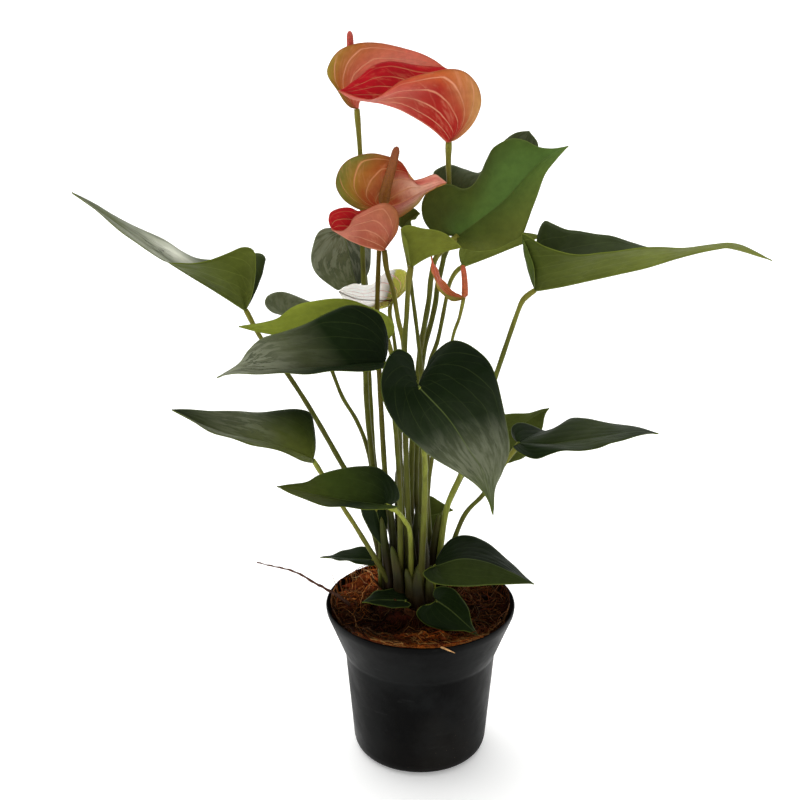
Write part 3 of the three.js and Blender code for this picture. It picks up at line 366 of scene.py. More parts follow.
FLOWERS = {
    "top_left": dict(
        depth=(66, 58), reach=(14, -14), foot=(-16, 5.5), radii=(1.5, 1.9), spadix_radii=(2.9, 1.9),
        rib=[(-37, 412), (-35, 417.5), (-25, 424), (-8.5, 429.5), (9, 433), (17.5, 433)],
        left=[(-37, 416.5), (-42.5, 422.5), (-46, 430), (-45.5, 438), (-40.5, 442.5), (-31.5, 445.5),
              (-18.5, 445.5), (-4.5, 441.5), (8, 436)],
        right=[(-41, 413), (-44.5, 416.5), (-48, 422.5), (-53, 431), (-52, 437), (-48.5, 442.5), (-43, 446),
               (-35, 448), (-24, 448), (-13, 446), (-3, 443), (5.5, 439), (12.5, 434.5)],
        via=[(-35.5, 389, 62), (-34.5, 360.5, 59), (-34.5, 331, 56), (-34, 310, 52), (-33.5, 276.5, 44),
             (-33, 238.5, 32), (-29.5, 196, 20), (-25.5, 159, 12)],
        spadix=[(-38, 418.5, 66), (-39, 428, 65.5), (-40, 441.5, 64.5), (-40.5, 454.5, 64)],
    ),
    "top_right": dict(
        depth=(34, 22), reach=(-15, 14), foot=(2, 16), radii=(1.6, 1.9), spadix_radii=(2.4, 1.6),
        rib=[(14.5, 393.5), (4, 402.5), (-10.5, 411), (-22, 415), (-30.5, 416.5), (-39.5, 418),
             (-47, 422.5)],
        left=[(19.5, 395.5), (25.5, 400.5), (30, 407), (32.5, 415), (31.5, 422), (28.5, 427.5), (23.5, 432),
              (17.5, 434), (11, 434), (2.5, 432), (-6, 429.5), (-13, 427), (-19.5, 422.5), (-27.5, 418),
              (-35, 418), (-41.5, 420)],
        right=[(19, 398), (24.5, 407), (26.5, 417), (24.5, 425), (19, 431), (12, 434.5), (3.5, 435.5),
               (-5.5, 436.5), (-14, 438), (-21, 438), (-28.5, 435.5), (-34, 431), (-39.5, 427),
               (-44, 423.5)],
        via=[(14.5, 380.5, 43), (15, 369, 44), (15, 352, 46), (13.5, 335.5, 47), (12, 324, 47),
             (9, 310, 46), (8, 300, 44), (5.5, 287.5, 42), (2, 273.5, 39), (-1, 254.5, 36), (-2, 225.5, 31),
             (-3, 179.5, 23)],
        spadix=[(13, 403.5, 34), (9.5, 412.5, 32.5), (5, 420.5, 31.5), (0.5, 426, 30)],
    ),
    "middle": dict(
        depth=(34, 24), reach=(-6, -6), foot=(-13.5, -1.5), radii=(1.4, 1.9), spadix_radii=(3.5, 2.1),
        rib=[(-22, 356), (-13, 358.5), (-1.5, 364.5), (13.5, 370.5)],
        left=[(-27, 354), (-33.5, 354), (-40.5, 357), (-46, 361.5), (-49.5, 368.5), (-48.5, 375.5),
              (-44.5, 381.5), (-38, 385.5), (-28.5, 387.5), (-19.5, 385.5), (-13, 382.5), (-9.5, 377),
              (-6.5, 372), (-0.5, 373), (6.5, 375.5), (10.5, 373)],
        right=[(-18.5, 353), (-13.5, 350.5), (-7.5, 354), (-2.5, 358.5), (2, 364), (7.5, 368)],
        via=[(-24, 342, 33), (-25, 331, 30), (-26, 307, 22), (-26.5, 282.5, 21), (-25.5, 259, 18),
             (-22.5, 197, 7), (-19.5, 159, 2)],
        spadix=[(-22.5, 358, 28.5), (-21, 366.5, 25), (-18, 377.5, 21.5), (-14.5, 391, 18)],
    ),
    "front_small": dict(
        depth=(16, 8), reach=(-11, 11), foot=(-3, 10), radii=(1.4, 1.9), spadix_radii=(2.6, 1.5),
        rib=[(-22, 331), (-32, 333.5), (-41, 337), (-47, 340.5), (-52, 343.5)],
        left=[(-18, 336.5), (-14, 344.5), (-13.5, 352.5), (-17, 357), (-22.5, 358.5), (-29.5, 356.5),
              (-35, 353.5), (-39.5, 350), (-41.5, 346), (-45, 343), (-48.5, 342.5)],
        right=[(-20.5, 337), (-19, 345.5), (-22, 352.5), (-29, 355.5), (-37, 354), (-41.5, 356), (-47, 356),
               (-52.5, 353.5), (-54, 349.5), (-53.5, 346)],
        via=[(-20.5, 319, 17), (-17, 307, 18), (-14, 289, 19), (-10.5, 270, 18), (-9.5, 225.5, 15),
             (-8.5, 172.5, 12)],
        spadix=[(-23, 339, 17), (-26, 345.5, 16.5), (-30, 350, 16), (-34, 353, 15.5)],
    ),
    "pale": dict(
        depth=(38, 34), reach=(6, -8), foot=(-10, 10.5), radii=(1.1, 1.7), spadix_radii=(2.2, 1.6),
        rib=[(-18, 300.5), (-27.5, 300.5), (-38.5, 301.5), (-49, 306)],
        left=[(-13.5, 302.5), (-9.5, 307), (-8, 313), (-9.5, 318.5), (-14.5, 320), (-20, 318.5),
              (-24, 315.5), (-28, 311.5), (-33.5, 310), (-39.5, 311), (-45, 309)],
        right=[(-20, 297), (-30.5, 295.5), (-41, 298), (-46.5, 302.5)],
        via=[(-19, 293.5, 36), (-17.5, 284.5, 35), (-15.5, 269, 31), (-13.5, 238.5, 24),
             (-12.5, 199.5, 16)],
        spadix=[(-19, 303.5, 41.5), (-20.5, 308.5, 43.5), (-22, 312.5, 45), (-24.5, 315.5, 46.5)],
    ),
    "bud": dict(
        depth=(-20, -24), reach=(-7, 7), foot=(1.5, -7), radii=(0.9, 1.6), spadix_radii=(1.9, 1.4),
        rib=[(24.5, 302.5), (17.5, 302.5), (12, 307), (8, 315.5), (5.5, 327.5)],
        left=[(23, 301), (16.5, 301), (11, 305.5), (7, 314), (5.5, 321.5)],
        right=[(23.5, 303.5), (18, 306), (13.5, 311), (10, 317), (7, 323.5)],
        via=[(22, 290, -19), (18, 276.5, -18), (12, 238.5, -15), (6.5, 199.5, -11), (4, 172.5, -9)],
        spadix=[(25, 303, -21.5), (25, 309.5, -23), (24.5, 316, -24.5), (23.5, 322, -26)],
    ),
}


def srgb(red, green, blue):
    """A linear colour from the 0-255 values seen on a screen."""
    return tuple(
        v / 12.92 if v <= 0.04045 else ((v + 0.055) / 1.055) ** 2.4
        for v in (red / 255, green / 255, blue / 255)
    )


DEEP = srgb(17, 27, 10)
DARK = srgb(22, 34, 12)
DUSK = srgb(44, 54, 20)
FERN = srgb(64, 78, 28)
BRIGHT = srgb(78, 104, 44)
# The next three colours are painted sheen: grey-green, silver, and a near-white painted highlight.
SHEEN_GREY_GREEN = srgb(62, 68, 38)
SHEEN_SILVER = srgb(92, 96, 72)
PALE_SHEEN = srgb(214, 216, 200)
OLIVE = srgb(90, 98, 38)
MOSS = srgb(64, 72, 26)
SPRING = srgb(104, 110, 40)
LIME = srgb(126, 136, 48)
PALE_LIME = srgb(148, 156, 66)
GOLD_GREEN = srgb(140, 134, 46)
KHAKI = srgb(66, 62, 18)
TAN = srgb(188, 128, 72)
BUFF = srgb(186, 140, 82)
ORANGE = srgb(182, 96, 46)
UMBER = srgb(168, 98, 40)
RUST = srgb(184, 62, 42)
ROSE = srgb(176, 98, 78)
DUSTY = srgb(196, 104, 92)
BRONZE = srgb(158, 96, 54)
SALMON = srgb(210, 112, 90)
PINK = srgb(226, 142, 124)
RED = srgb(182, 28, 34)
MAROON = srgb(160, 34, 28)
CRIMSON = srgb(168, 16, 30)
CREAM = srgb(252, 246, 234)
BLUSH = srgb(232, 184, 160)
STEM_FOOT = srgb(32, 30, 13)
STEM_MIDDLE = srgb(84, 88, 30)
STEM_TOP = srgb(126, 124, 48)
STEM_LIGHT = srgb(142, 150, 62)
STEM_DARK = srgb(94, 80, 22)
SHEATH_FOOT = srgb(28, 20, 11)
# Thin dark lines of painted shade in the creases of the painted sheen.
CREASE_SHADE = srgb(34, 42, 22)
TWIG_TONE = srgb(92, 64, 52)
TAN_ROOT = srgb(196, 150, 100)
HAIR_TONE = srgb(120, 84, 56)
PAPER_RED = srgb(92, 34, 20)
PAPER_BROWN = srgb(74, 42, 22)
PAPER_GREEN = srgb(58, 58, 26)
SOIL_TONES = [srgb(176, 84, 34), srgb(130, 56, 24), srgb(204, 118, 52), srgb(96, 38, 18), srgb(230, 160, 96)]
RIM_TONES = [srgb(188, 92, 28), srgb(150, 66, 20), srgb(206, 120, 44), srgb(120, 50, 20), srgb(220, 160, 90)]

# Colours of each blade as (upper left, upper right, lower left, lower right), with left and right as seen
# from above looking from the stalk to the tip. A list runs from the lobe to the tip, and a list of lists
# from the rib to the edge. Grey-green, silver and near-white steps are painted sheen where a blade catches
# the light, and the list below gives the top left leaf a near-white painted highlight patch.
SHEEN = [
    [DARK, DARK, DUSK, DUSK, DUSK, DUSK, DUSK, MOSS, SHEEN_GREY_GREEN],
    [DARK, DARK, DUSK, DUSK, MOSS, PALE_SHEEN, SHEEN_GREY_GREEN, MOSS, SHEEN_GREY_GREEN],
    [DARK, DARK, DUSK, DUSK, DUSK, SHEEN_GREY_GREEN, DUSK, DUSK, SHEEN_GREY_GREEN],
]
LOW = [
    [OLIVE, OLIVE, OLIVE, MOSS, DARK],
    [DUSK, DUSK, MOSS, SHEEN_GREY_GREEN, DARK],
    [DEEP, DEEP, DARK, SHEEN_GREY_GREEN, DARK],
]
BAND = [[MOSS, BRIGHT, BRIGHT, BRIGHT], [MOSS, MOSS, BRIGHT, BRIGHT], [MOSS, MOSS, FERN, BRIGHT]]
YOUNG = [PALE_LIME, LIME, LIME]
FRONT = [DEEP, DEEP, DEEP, DARK, SHEEN_GREY_GREEN, FERN]
SHADE = [DARK, DARK, DUSK, DARK]
SMALL_LEAF = (MOSS, MOSS, OLIVE, OLIVE)
LEAF_TONES = {
    "left_top": ([DARK, DUSK, DUSK, MOSS, SHEEN_GREY_GREEN], SHEEN, [OLIVE, MOSS, OLIVE], MOSS),
    "left_back": (SHEEN_GREY_GREEN, SHEEN_GREY_GREEN, OLIVE, OLIVE),
    "left_young": (YOUNG, YOUNG, LIME, LIME),
    "left_middle": ([DEEP, DEEP, SHEEN_GREY_GREEN], [DEEP, DEEP, DEEP, DARK, SHEEN_GREY_GREEN, SHEEN_SILVER, SHEEN_SILVER], MOSS, MOSS),
    "left_low": ([OLIVE, OLIVE, MOSS, DARK], LOW, MOSS, MOSS),
    "front_left": ([FERN, DARK, OLIVE], [DARK, DARK, FERN, OLIVE], MOSS, MOSS),
    "front_heart": (FRONT, FRONT, MOSS, MOSS),
    "right_back": (MOSS, MOSS, MOSS, MOSS),
    "right_middle": (SHADE, SHADE, MOSS, MOSS),
    "right_top": (DUSK, FERN, [OLIVE, SPRING], [FERN, MOSS, OLIVE, SPRING]),
    "top_right": (BAND, [[FERN, FERN, BRIGHT], [OLIVE, OLIVE, BRIGHT]], OLIVE, OLIVE),
    "small_centre": (SPRING, SPRING, SPRING, SPRING),
    "small_right": SMALL_LEAF,
    # hanging_back: its upper left half is darker, painted shade, and its upper right half is painted
    # grey-green sheen.
    "hanging_back": ([MOSS, DARK, DARK], [SHEEN_GREY_GREEN, SHEEN_GREY_GREEN, MOSS], DUSK, MOSS),
    "top_back": (DUSK, DUSK, MOSS, MOSS),
    "right_low": (DEEP, [DARK, DUSK, DUSK], MOSS, MOSS),
    "tiny_soil": (DEEP, DEEP, DARK, DARK),
    "tiny_right": (MOSS, MOSS, MOSS, MOSS),
    "small_back": SMALL_LEAF,
}
OTHER_TONES = (DARK, DARK, MOSS, MOSS)
# Strength of the painted grey sheen on a leaf's upper side, crossed by thin dark lines of painted shade,
# evenly spaced from lobe to tip.
SHEEN_STRENGTH = {
    "left_top": [0, 0, 0, 0, 0.6, 0.9, 0.2, 0.2],
    "left_middle": [0, 0, 0, 0, 0.2, 0.8, 1.0],
    "left_low": [0, 0, 0, 0, 0.1, 0.55, 0.4, 0.1, 0],
    "front_heart": [0, 0, 0, 0, 0.05, 0.5, 0.45, 0],
    "hanging_back": [0.7, 0.7, 0.2],
    "left_back": [0.3, 0.3],
    "top_back": [0, 0.15, 0.2],
}
HOOD = [
    [UMBER, SALMON, PINK, PINK, SALMON],
    [SPRING, UMBER, SALMON, PINK, SALMON],
    [SPRING, GOLD_GREEN, UMBER, SALMON, SALMON],
]
FOLD = [
    [MAROON, MAROON, MAROON, DUSTY, DUSTY],
    [BUFF, MAROON, MAROON, ROSE, DUSTY],
    [BUFF, BUFF, MAROON, DUSTY, DUSTY],
    [BUFF, BUFF, ORANGE, RUST, RUST],
]
CUP_LEFT = [
    [RUST, ORANGE, TAN, BLUSH, PINK],
    [UMBER, UMBER, TAN, BLUSH, PINK],
    [SPRING, GOLD_GREEN, UMBER, RED, PINK],
    [SPRING, SPRING, SPRING, RUST, BLUSH],
]
CUP_RIGHT = [[SALMON, PINK, BLUSH], [SALMON, BLUSH, BLUSH], [UMBER, GOLD_GREEN, TAN]]
SPOON = [[BRONZE, BRONZE, ROSE, PINK], [BRONZE, ROSE, ROSE, PINK], [BRONZE, BRONZE, ROSE, ROSE]]
PETAL = [KHAKI] * 4 + [CREAM] * 4
PETAL_EDGE = [KHAKI] * 5 + [TAN, CREAM, CREAM]
BELLY_EDGE = [GOLD_GREEN, SPRING, GOLD_GREEN, ORANGE, RUST]
BELLY = [[RUST, ORANGE, ORANGE, RUST, RUST], BELLY_EDGE, BELLY_EDGE]
BUD_LEFT = [SPRING, GOLD_GREEN, GOLD_GREEN, ORANGE]
BUD_RIGHT = [SPRING, GOLD_GREEN, ORANGE, RUST]
FLOWER_TONES = {
    "top_left": (RED, RED, HOOD, HOOD),
    "top_right": (RED, [CRIMSON, RED, CRIMSON], FOLD, FOLD),
    "middle": (CUP_LEFT, CUP_RIGHT, TAN, TAN),
    "front_small": (RED, RED, SPOON, [ROSE, SALMON, PINK]),
    "pale": (PETAL, PETAL, PETAL, [PETAL, PETAL, PETAL_EDGE]),
    "bud": (BELLY, [RUST, ORANGE, RUST], BUD_LEFT, BUD_RIGHT),
}
# How strongly red spreads from the joint of each flower.
HEART = {"top_left": 0.55, "top_right": 0.8, "middle": 0.6, "front_small": 0.35, "pale": 0.0, "bud": 0.1}
# Colours of each spadix at its foot and its tip.
SPADIX_TONES = {
    "top_left": (srgb(205, 92, 72), srgb(196, 82, 70)),
    "top_right": (srgb(205, 92, 72), srgb(200, 78, 70)),
    "middle": (srgb(134, 92, 18), srgb(138, 66, 26)),
    "front_small": (srgb(200, 90, 60), srgb(190, 70, 60)),
    "pale": (srgb(214, 150, 120), srgb(214, 150, 120)),
    "bud": (srgb(176, 84, 38), srgb(180, 74, 36)),
}
# Colours of stems at STEM_STOPS, shares of the way down from the blade: of most stems, and of those that
# differ.
STEM_STOPS = [0, 0.2, 0.7, 0.94]
PLAIN_STEM = [STEM_TOP, STEM_MIDDLE, STEM_MIDDLE, STEM_FOOT]
LIGHT_STEM = [STEM_LIGHT, STEM_LIGHT, STEM_MIDDLE, STEM_FOOT]
STEM_TONES = {
    "front_left": LIGHT_STEM,
    "front_heart": LIGHT_STEM,
    "right_top": [STEM_TOP, STEM_MIDDLE, STEM_LIGHT, STEM_MIDDLE],
    "left_low": [STEM_LIGHT, STEM_TOP, STEM_MIDDLE, STEM_FOOT],
    "middle": [STEM_DARK, STEM_DARK, STEM_MIDDLE, STEM_FOOT],
    "front_small": [STEM_DARK, STEM_TOP, STEM_MIDDLE, STEM_FOOT],
    "right_low": LIGHT_STEM,
}

# Dry scales: bearing in degrees, distance from the axis, height, lean outwards, width, sideways twist, tone.
SCALES = [
    (205, 23, 18, 7, 10, -3, PAPER_BROWN),
    (188, 24, 22, 9, 9, 2, PAPER_BROWN),
    (228, 22, 14, 6, 9, 3, PAPER_BROWN),
    (255, 24, 10, 5, 10, -2, PAPER_BROWN),
    (160, 24, 28, 9, 9, 2, PAPER_RED),
    (140, 22, 30, 6, 9, -2, PAPER_RED),
    (320, 24, 13, 6, 10, 2, PAPER_BROWN),
    (290, 23, 10, 5, 8, -2, PAPER_GREEN),
    (345, 24, 15, 6, 9, 2, PAPER_BROWN),
    (50, 24, 20, 7, 12, 3, PAPER_BROWN),
    (85, 23, 26, 5, 10, -2, PAPER_RED),
    (110, 24, 18, 7, 11, 2, PAPER_BROWN),
    (15, 24, 14, 7, 10, 2, PAPER_BROWN),
]
# Shoots: bearing in degrees, distance from the axis, height, lean outwards and radius.
SHOOTS = [
    (200, 19, 62, 7, 3.2), (215, 17, 44, 5, 3.6), (182, 15, 74, 5, 3.0), (240, 15, 30, 3, 3.4),
    (160, 12, 88, 4, 3.2), (265, 10, 66, 2, 3.0), (285, 15, 26, 3, 3.2), (268, 15, 33, 0, 4.8),
    (300, 11, 30, 2, 4.0), (20, 9, 58, 3, 3.2), (330, 14, 34, 4, 3.2), (95, 12, 60, 4, 3.2),
]
TWIG = [
    (-103, 129.5, 4), (-86.5, 125.5, 3), (-76, 121.5, 3), (-68, 116, 2), (-60, 111, 1), (-52, 106, 0),
    (-45, 99.5, 0),
]
# Loose roots and hairs: path on sight lines, radius and tone.
HAIRS = [
    ([(4, 73, -50), (11.5, 70.1, -57), (16.7, 67.5, -59), (22.5, 64.6, -57.8)], 0.9, TAN_ROOT),
    ([(-51, 104, 4), (-53, 110, 4), (-54.5, 117, 5), (-56.5, 124, 6)], 0.22, HAIR_TONE),
    ([(-48, 105, 8), (-50, 112, 8), (-50.5, 119, 9)], 0.18, HAIR_TONE),
    ([(-44, 104, 12), (-47, 111, 12), (-46, 118, 13)], 0.16, HAIR_TONE),
    ([(44, 104, 18), (50, 114, 18), (57, 121, 20)], 0.18, HAIR_TONE),
    ([(30, 108, 30), (36, 128, 30), (43, 142, 31)], 0.14, HAIR_TONE),
]


# ---------------------------------------------------------------- geometry


def on_sight_line(points, depth):
    """Points (x, z) of the upright plane slid along their sight lines to the depth."""
    points = np.asarray(points, float)
    flat = np.stack([points[..., 0], np.zeros(points.shape[:-1]), points[..., 1]], -1)
    return EYE + (flat - EYE) * (1 + np.asarray(depth, float)[..., None] / -EYE[1])


def on_sight_lines(path):
    """The places of points (x, z, depth)."""
    return [on_sight_line(point[:2], point[2]) for point in path]


def interpolated(share, stops, values):
    """Rows of values, which are given at the stops, at each share."""
    values = np.asarray(values)
    return np.stack([np.interp(share, stops, column) for column in values.T], -1)


def spline(points, samples=240):
    """A smooth curve through the points, as a function of the share of its length."""
    p = np.asarray(points, float)
    knots = np.r_[0, np.cumsum(np.linalg.norm(np.diff(p, axis=0), axis=1) ** 0.5)]
    padded = np.vstack([2 * p[0] - p[1], p, 2 * p[-1] - p[-2]])
    t = np.linspace(0, knots[-1], samples)
    i = np.clip(np.searchsorted(knots, t, side="right") - 1, 0, len(p) - 2)
    u = ((t - knots[i]) / (knots[i + 1] - knots[i]))[:, None]
    a, b, c, d = padded[i], padded[i + 1], padded[i + 2], padded[i + 3]
    curve = 0.5 * (2 * b + (c - a) * u + (2 * a - 5 * b + 4 * c - d) * u**2 + (3 * b - a - 3 * c + d) * u**3)
    length = np.r_[0, np.cumsum(np.linalg.norm(np.diff(curve, axis=0), axis=1))]

    def at(share):
        return interpolated(np.asarray(share, float) * length[-1], length, curve)

    at.length = length[-1]
    return at


def vertex_normals(points, faces):
    """Area-weighted normals of the vertices. Faces have four corners, and a triangle repeats its last."""
    a, b, c, d = (points[faces[:, k]] for k in range(4))
    across = np.cross(c - a, d - b)
    normals = np.zeros_like(points)
    for k in range(4):
        np.add.at(normals, faces[:, k], across)
    return normals / np.maximum(np.linalg.norm(normals, axis=1, keepdims=True), 1e-12)


def blade_sheet(shape, rows, columns):
    """The middle surface of a blade: points, faces, and each point's (t, signed s, half width).

    t is the share of the edge from the notch to the tip. s runs from 0 at the rib to 1 at the left edge
    and to -1 at the right edge.
    """
    t = np.linspace(0, 1, rows + 1)
    rib_share = np.clip((t - FAN_SHARE) / (1 - FAN_SHARE), 0, 1) ** 1.15
    rib_depth = shape["depth"][0] + (shape["depth"][1] - shape["depth"][0]) * rib_share
    rib_points = on_sight_line(spline(shape["rib"])(rib_share), rib_depth)
    bow = np.sin(np.pi * t**0.8).clip(0) ** 0.8
    lobe = shape.get("lobe_depth", 0) * (1 - np.abs(t - 0.2) / 0.2).clip(0)
    s = np.linspace(0, 1, columns + 1) ** 1.35
    grid = np.arange((rows + 1) * (columns + 1)).reshape(rows + 1, columns + 1)
    points, places, faces = [], [], []
    for sign, side, reach in ((1, "left", shape["reach"][0]), (-1, "right", shape["reach"][1])):
        edge = spline([shape["rib"][0], *shape[side], shape["rib"][-1]])
        half = on_sight_line(edge(t), rib_depth + reach * bow + lobe) - rib_points
        width = np.linalg.norm(half, axis=1)
        index = grid + len(points) * grid.size
        points.append(rib_points[:, None] + half[:, None] * s[None, :, None])
        places.append(np.stack(np.broadcast_arrays(t[:, None], sign * s[None, :], width[:, None]), -1))
        a, b = index[:-1, :-1].ravel(), index[:-1, 1:].ravel()
        c, d = index[1:, 1:].ravel(), index[1:, :-1].ravel()
        faces.append(np.stack([a, d, c, b] if sign > 0 else [a, b, c, d], -1))
    points, places = (np.concatenate(halves).reshape(-1, 3) for halves in (points, places))
    # Points that fall together, along the rib and at both ends, become one.
    _, first, inverse = np.unique(np.round(points, 2), axis=0, return_index=True, return_inverse=True)
    return points[first], tidy_faces(inverse.ravel()[np.concatenate(faces)]), places[first]


def tidy_faces(faces):
    """Drops faces with no area. A face that has lost one corner repeats its last corner instead."""
    kept = []
    for face in faces.tolist():
        corners = [c for k, c in enumerate(face) if c != face[k - 1]]
        if len(set(corners)) >= 3 and len(set(corners)) == len(corners):
            kept.append(corners + corners[-1:] * (4 - len(corners)))
    return np.array(kept)


def long_vein(places):
    """How far out the long vein through each point lies: 0 at the rib, 1 along the edge.

    Long veins leave the joint one after another on the way round the notch, then run on to the tip.
    """
    t, s = places[:, 0], np.abs(places[:, 1])
    low, high = np.zeros_like(s), np.full_like(s, 3.0)
    for _ in range(24):
        guess = (low + high) / 2
        start = FAN_SHARE - 0.3 * guess
        inside = guess * np.clip((t - start) / LONG_VEIN_SPREAD, 0, 1) ** 0.8 < s
        low, high = np.where(inside, guess, low), np.where(inside, high, guess)
    return low


def blade_relief(points, places, seed, camber):
    """How far each point of a blade stands above its plain middle surface, in mm."""
    t, s, width = places[:, 0], np.abs(places[:, 1]), places[:, 2]
    along = np.sin(np.pi * t.clip(0, 1)) ** 0.5
    bulge = camber * width * 4 * s * (1 - s) * along
    inner = (s * (1 - s) * 4).clip(0, 1) ** 0.6
    long_groove = (0.5 + 0.5 * np.cos(2 * np.pi * LONG_VEINS * long_vein(places))) ** 4
    side_groove = (0.5 + 0.5 * np.cos(2 * np.pi * SIDE_VEINS * (t - VEIN_SWEEP * s**2))) ** 3
    sunk = -VEIN_RELIEF * (long_groove + 0.6 * side_groove) * inner
    gutter = -GUTTER_DEPTH * np.exp(-((s * width / GUTTER_WIDTH) ** 2)) * (1 - 0.6 * t)
    # The seed and the side give each half its own phase.
    turn = 2 * np.pi * EDGE_WAVES * t + seed * 1.7 + (places[:, 1] > 0) * 2.1
    wave = WAVE_HEIGHT * s**3 * along * np.sin(turn)
    lumps = np.array([noise.noise(Vector(p) * 0.07 + Vector((seed, 0, 0))) for p in points])
    return bulge + sunk + gutter + wave + LUMP_HEIGHT * lumps * along * s


def thicken(points, faces, thickness):
    """Two skins and a rim round a sheet, and how many polygons the upper skin has.

    The upper skin's points come first, then the lower skin's.
    """
    half = vertex_normals(points, faces) * (thickness[:, None] / 2)
    under = len(points)
    upper, edges = [], {}
    for face in faces.tolist():
        corners = face[:3] if face[3] == face[2] else face
        upper.append(tuple(corners))
        for k, corner in enumerate(corners):
            edge = (corners[k - 1], corner)
            if edge[::-1] in edges:
                del edges[edge[::-1]]
            else:
                edges[edge] = True
    lower = [tuple(under + c for c in reversed(corners)) for corners in upper]
    rim = [(b, a, under + a, under + b) for a, b in edges]
    return np.concatenate([points + half, points - half]), upper + lower + rim, len(upper)


def circle(sides):
    """Angles of evenly spaced points round a circle."""
    return 2 * np.pi * np.arange(sides) / sides


def ring_polygons(rings, sides):
    """Polygons of a closed skin through rings of points, with a cap at each end."""
    polygons = [
        (r * sides + i, r * sides + (i + 1) % sides, (r + 1) * sides + (i + 1) % sides, (r + 1) * sides + i)
        for r in range(rings - 1)
        for i in range(sides)
    ]
    return polygons + [tuple(reversed(range(sides))), tuple(range((rings - 1) * sides, rings * sides))]


def tube(centres, radii, sides, lift=None):
    """A closed tube along the centres. lift(ring, angles) adds to the radius, in mm."""
    centres = np.asarray(centres, float)
    tangents = np.gradient(centres, axis=0)
    tangents /= np.linalg.norm(tangents, axis=1, keepdims=True)
    normal = np.cross(tangents[0], [0.3, 1, 0.2])
    angles = circle(sides)
    points = []
    for ring, (centre, tangent, radius) in enumerate(zip(centres, tangents, radii)):
        normal = normal - tangent * np.dot(normal, tangent)
        normal /= np.linalg.norm(normal)
        around = np.cos(angles)[:, None] * normal + np.sin(angles)[:, None] * np.cross(tangent, normal)
        reach = radius + (lift(ring, angles) if lift else 0)
        points.append(centre + around * np.reshape(reach, (-1, 1)))
    return np.concatenate(points), ring_polygons(len(centres), sides)


def turned(profile, segments):
    """The skin of a profile (radius, height) turned about the axis, closed by a disc at each end."""
    points = np.array([(r * math.cos(a), r * math.sin(a), z) for r, z in profile for a in circle(segments)])
    return points, ring_polygons(len(profile), segments)


def joined(parts):
    """One list of points and one of polygons from several."""
    points, polygons, start = [], [], 0
    for some_points, some_polygons in parts:
        points.append(some_points)
        polygons += [tuple(start + c for c in polygon) for polygon in some_polygons]
        start += len(some_points)
    return np.concatenate(points), polygons


def mesh_object(name, points, polygons):
    """A mesh object in metres, in the scene."""
    mesh = bpy.data.meshes.new(name)
    mesh.from_pydata((np.asarray(points) * METRE).tolist(), [], polygons)
    made = bpy.data.objects.new(name, mesh)
    bpy.context.scene.collection.objects.link(made)
    return made


def make_piece(name, points, polygons, materials, slot, replaces=None, tint=None, vectors=None, slots=None):
    """A mesh object that rides on the part's one body."""
    piece = mesh_object(name, points, polygons)
    mesh = piece.data
    for material in materials:
        mesh.materials.append(material)
    if slots is not None:
        mesh.polygons.foreach_set("material_index", slots)
    mesh.polygons.foreach_set("use_smooth", [True] * len(polygons))
    for key, values in (vectors or {}).items():
        attribute = mesh.attributes.new(key, "FLOAT_VECTOR", "POINT")
        attribute.data.foreach_set("vector", np.asarray(values, np.float32).ravel())
    if tint is not None:
        colours = np.concatenate([tint, np.ones((len(tint), 1))], 1)
        layer = mesh.color_attributes.new("tint", "FLOAT_COLOR", "POINT")
        layer.data.foreach_set("color", colours.astype(np.float32).ravel())
    mesh.validate()
    mesh.update()
    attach(piece, "root")
    if replaces:
        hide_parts(replaces)
    return piece


def make_bundle(name, bits, material, slot):
    """One piece from many bits, each (points, polygons) and a tint for all its points or for each."""
    points, polygons = joined([bit for bit, _ in bits])
    tint = np.concatenate([np.broadcast_to(tone, bit[0].shape) for bit, tone in bits])
    make_piece(name, points, polygons, [material], slot, tint=tint)


# ---------------------------------------------------------------- materials


class Wire:
    """The output of a node. Arithmetic on it makes one Math node each time."""

    def __init__(self, nodes, socket):
        self.nodes, self.socket = nodes, socket

    def __add__(self, other):
        return self.nodes.math("ADD", self, other)

    def __sub__(self, other):
        return self.nodes.math("SUBTRACT", self, other)

    def __rsub__(self, other):
        return self.nodes.math("SUBTRACT", other, self)

    def __mul__(self, other):
        return self.nodes.math("MULTIPLY", self, other)

    def __truediv__(self, other):
        return self.nodes.math("DIVIDE", self, other)

    def __abs__(self):
        return self.nodes.math("ABSOLUTE", self)


class Nodes:
    """A node tree built with short calls. Each call returns the wire that it makes."""

    def __init__(self, tree):
        self.tree = tree

    def plug(self, socket, value):
        if isinstance(value, Wire):
            self.tree.links.new(value.socket, socket)
        elif isinstance(value, tuple) and len(value) == 3 and socket.type == "RGBA":
            socket.default_value = (*value, 1)
        else:
            socket.default_value = value

    def node(self, kind, inputs, output=0, **settings):
        node = self.tree.nodes.new(kind)
        for key, value in settings.items():
            setattr(node, key, value)
        for key, value in inputs.items():
            self.plug(node.inputs[key], value)
        return Wire(self, node.outputs[output])

    def math(self, operation, a, b=0.0):
        return self.node("ShaderNodeMath", {0: a, 1: b}, operation=operation)

    def smooth(self, value, start, end, low=0.0, high=1.0):
        inputs = {"Value": value, "From Min": start, "From Max": end, "To Min": low, "To Max": high}
        return self.node("ShaderNodeMapRange", inputs, interpolation_type="SMOOTHSTEP")

    def parts(self, vector):
        node = self.tree.nodes.new("ShaderNodeSeparateXYZ")
        self.plug(node.inputs[0], vector)
        return [Wire(self, socket) for socket in node.outputs]

    def place(self, output="Object"):
        return self.node("ShaderNodeTexCoord", {}, output)


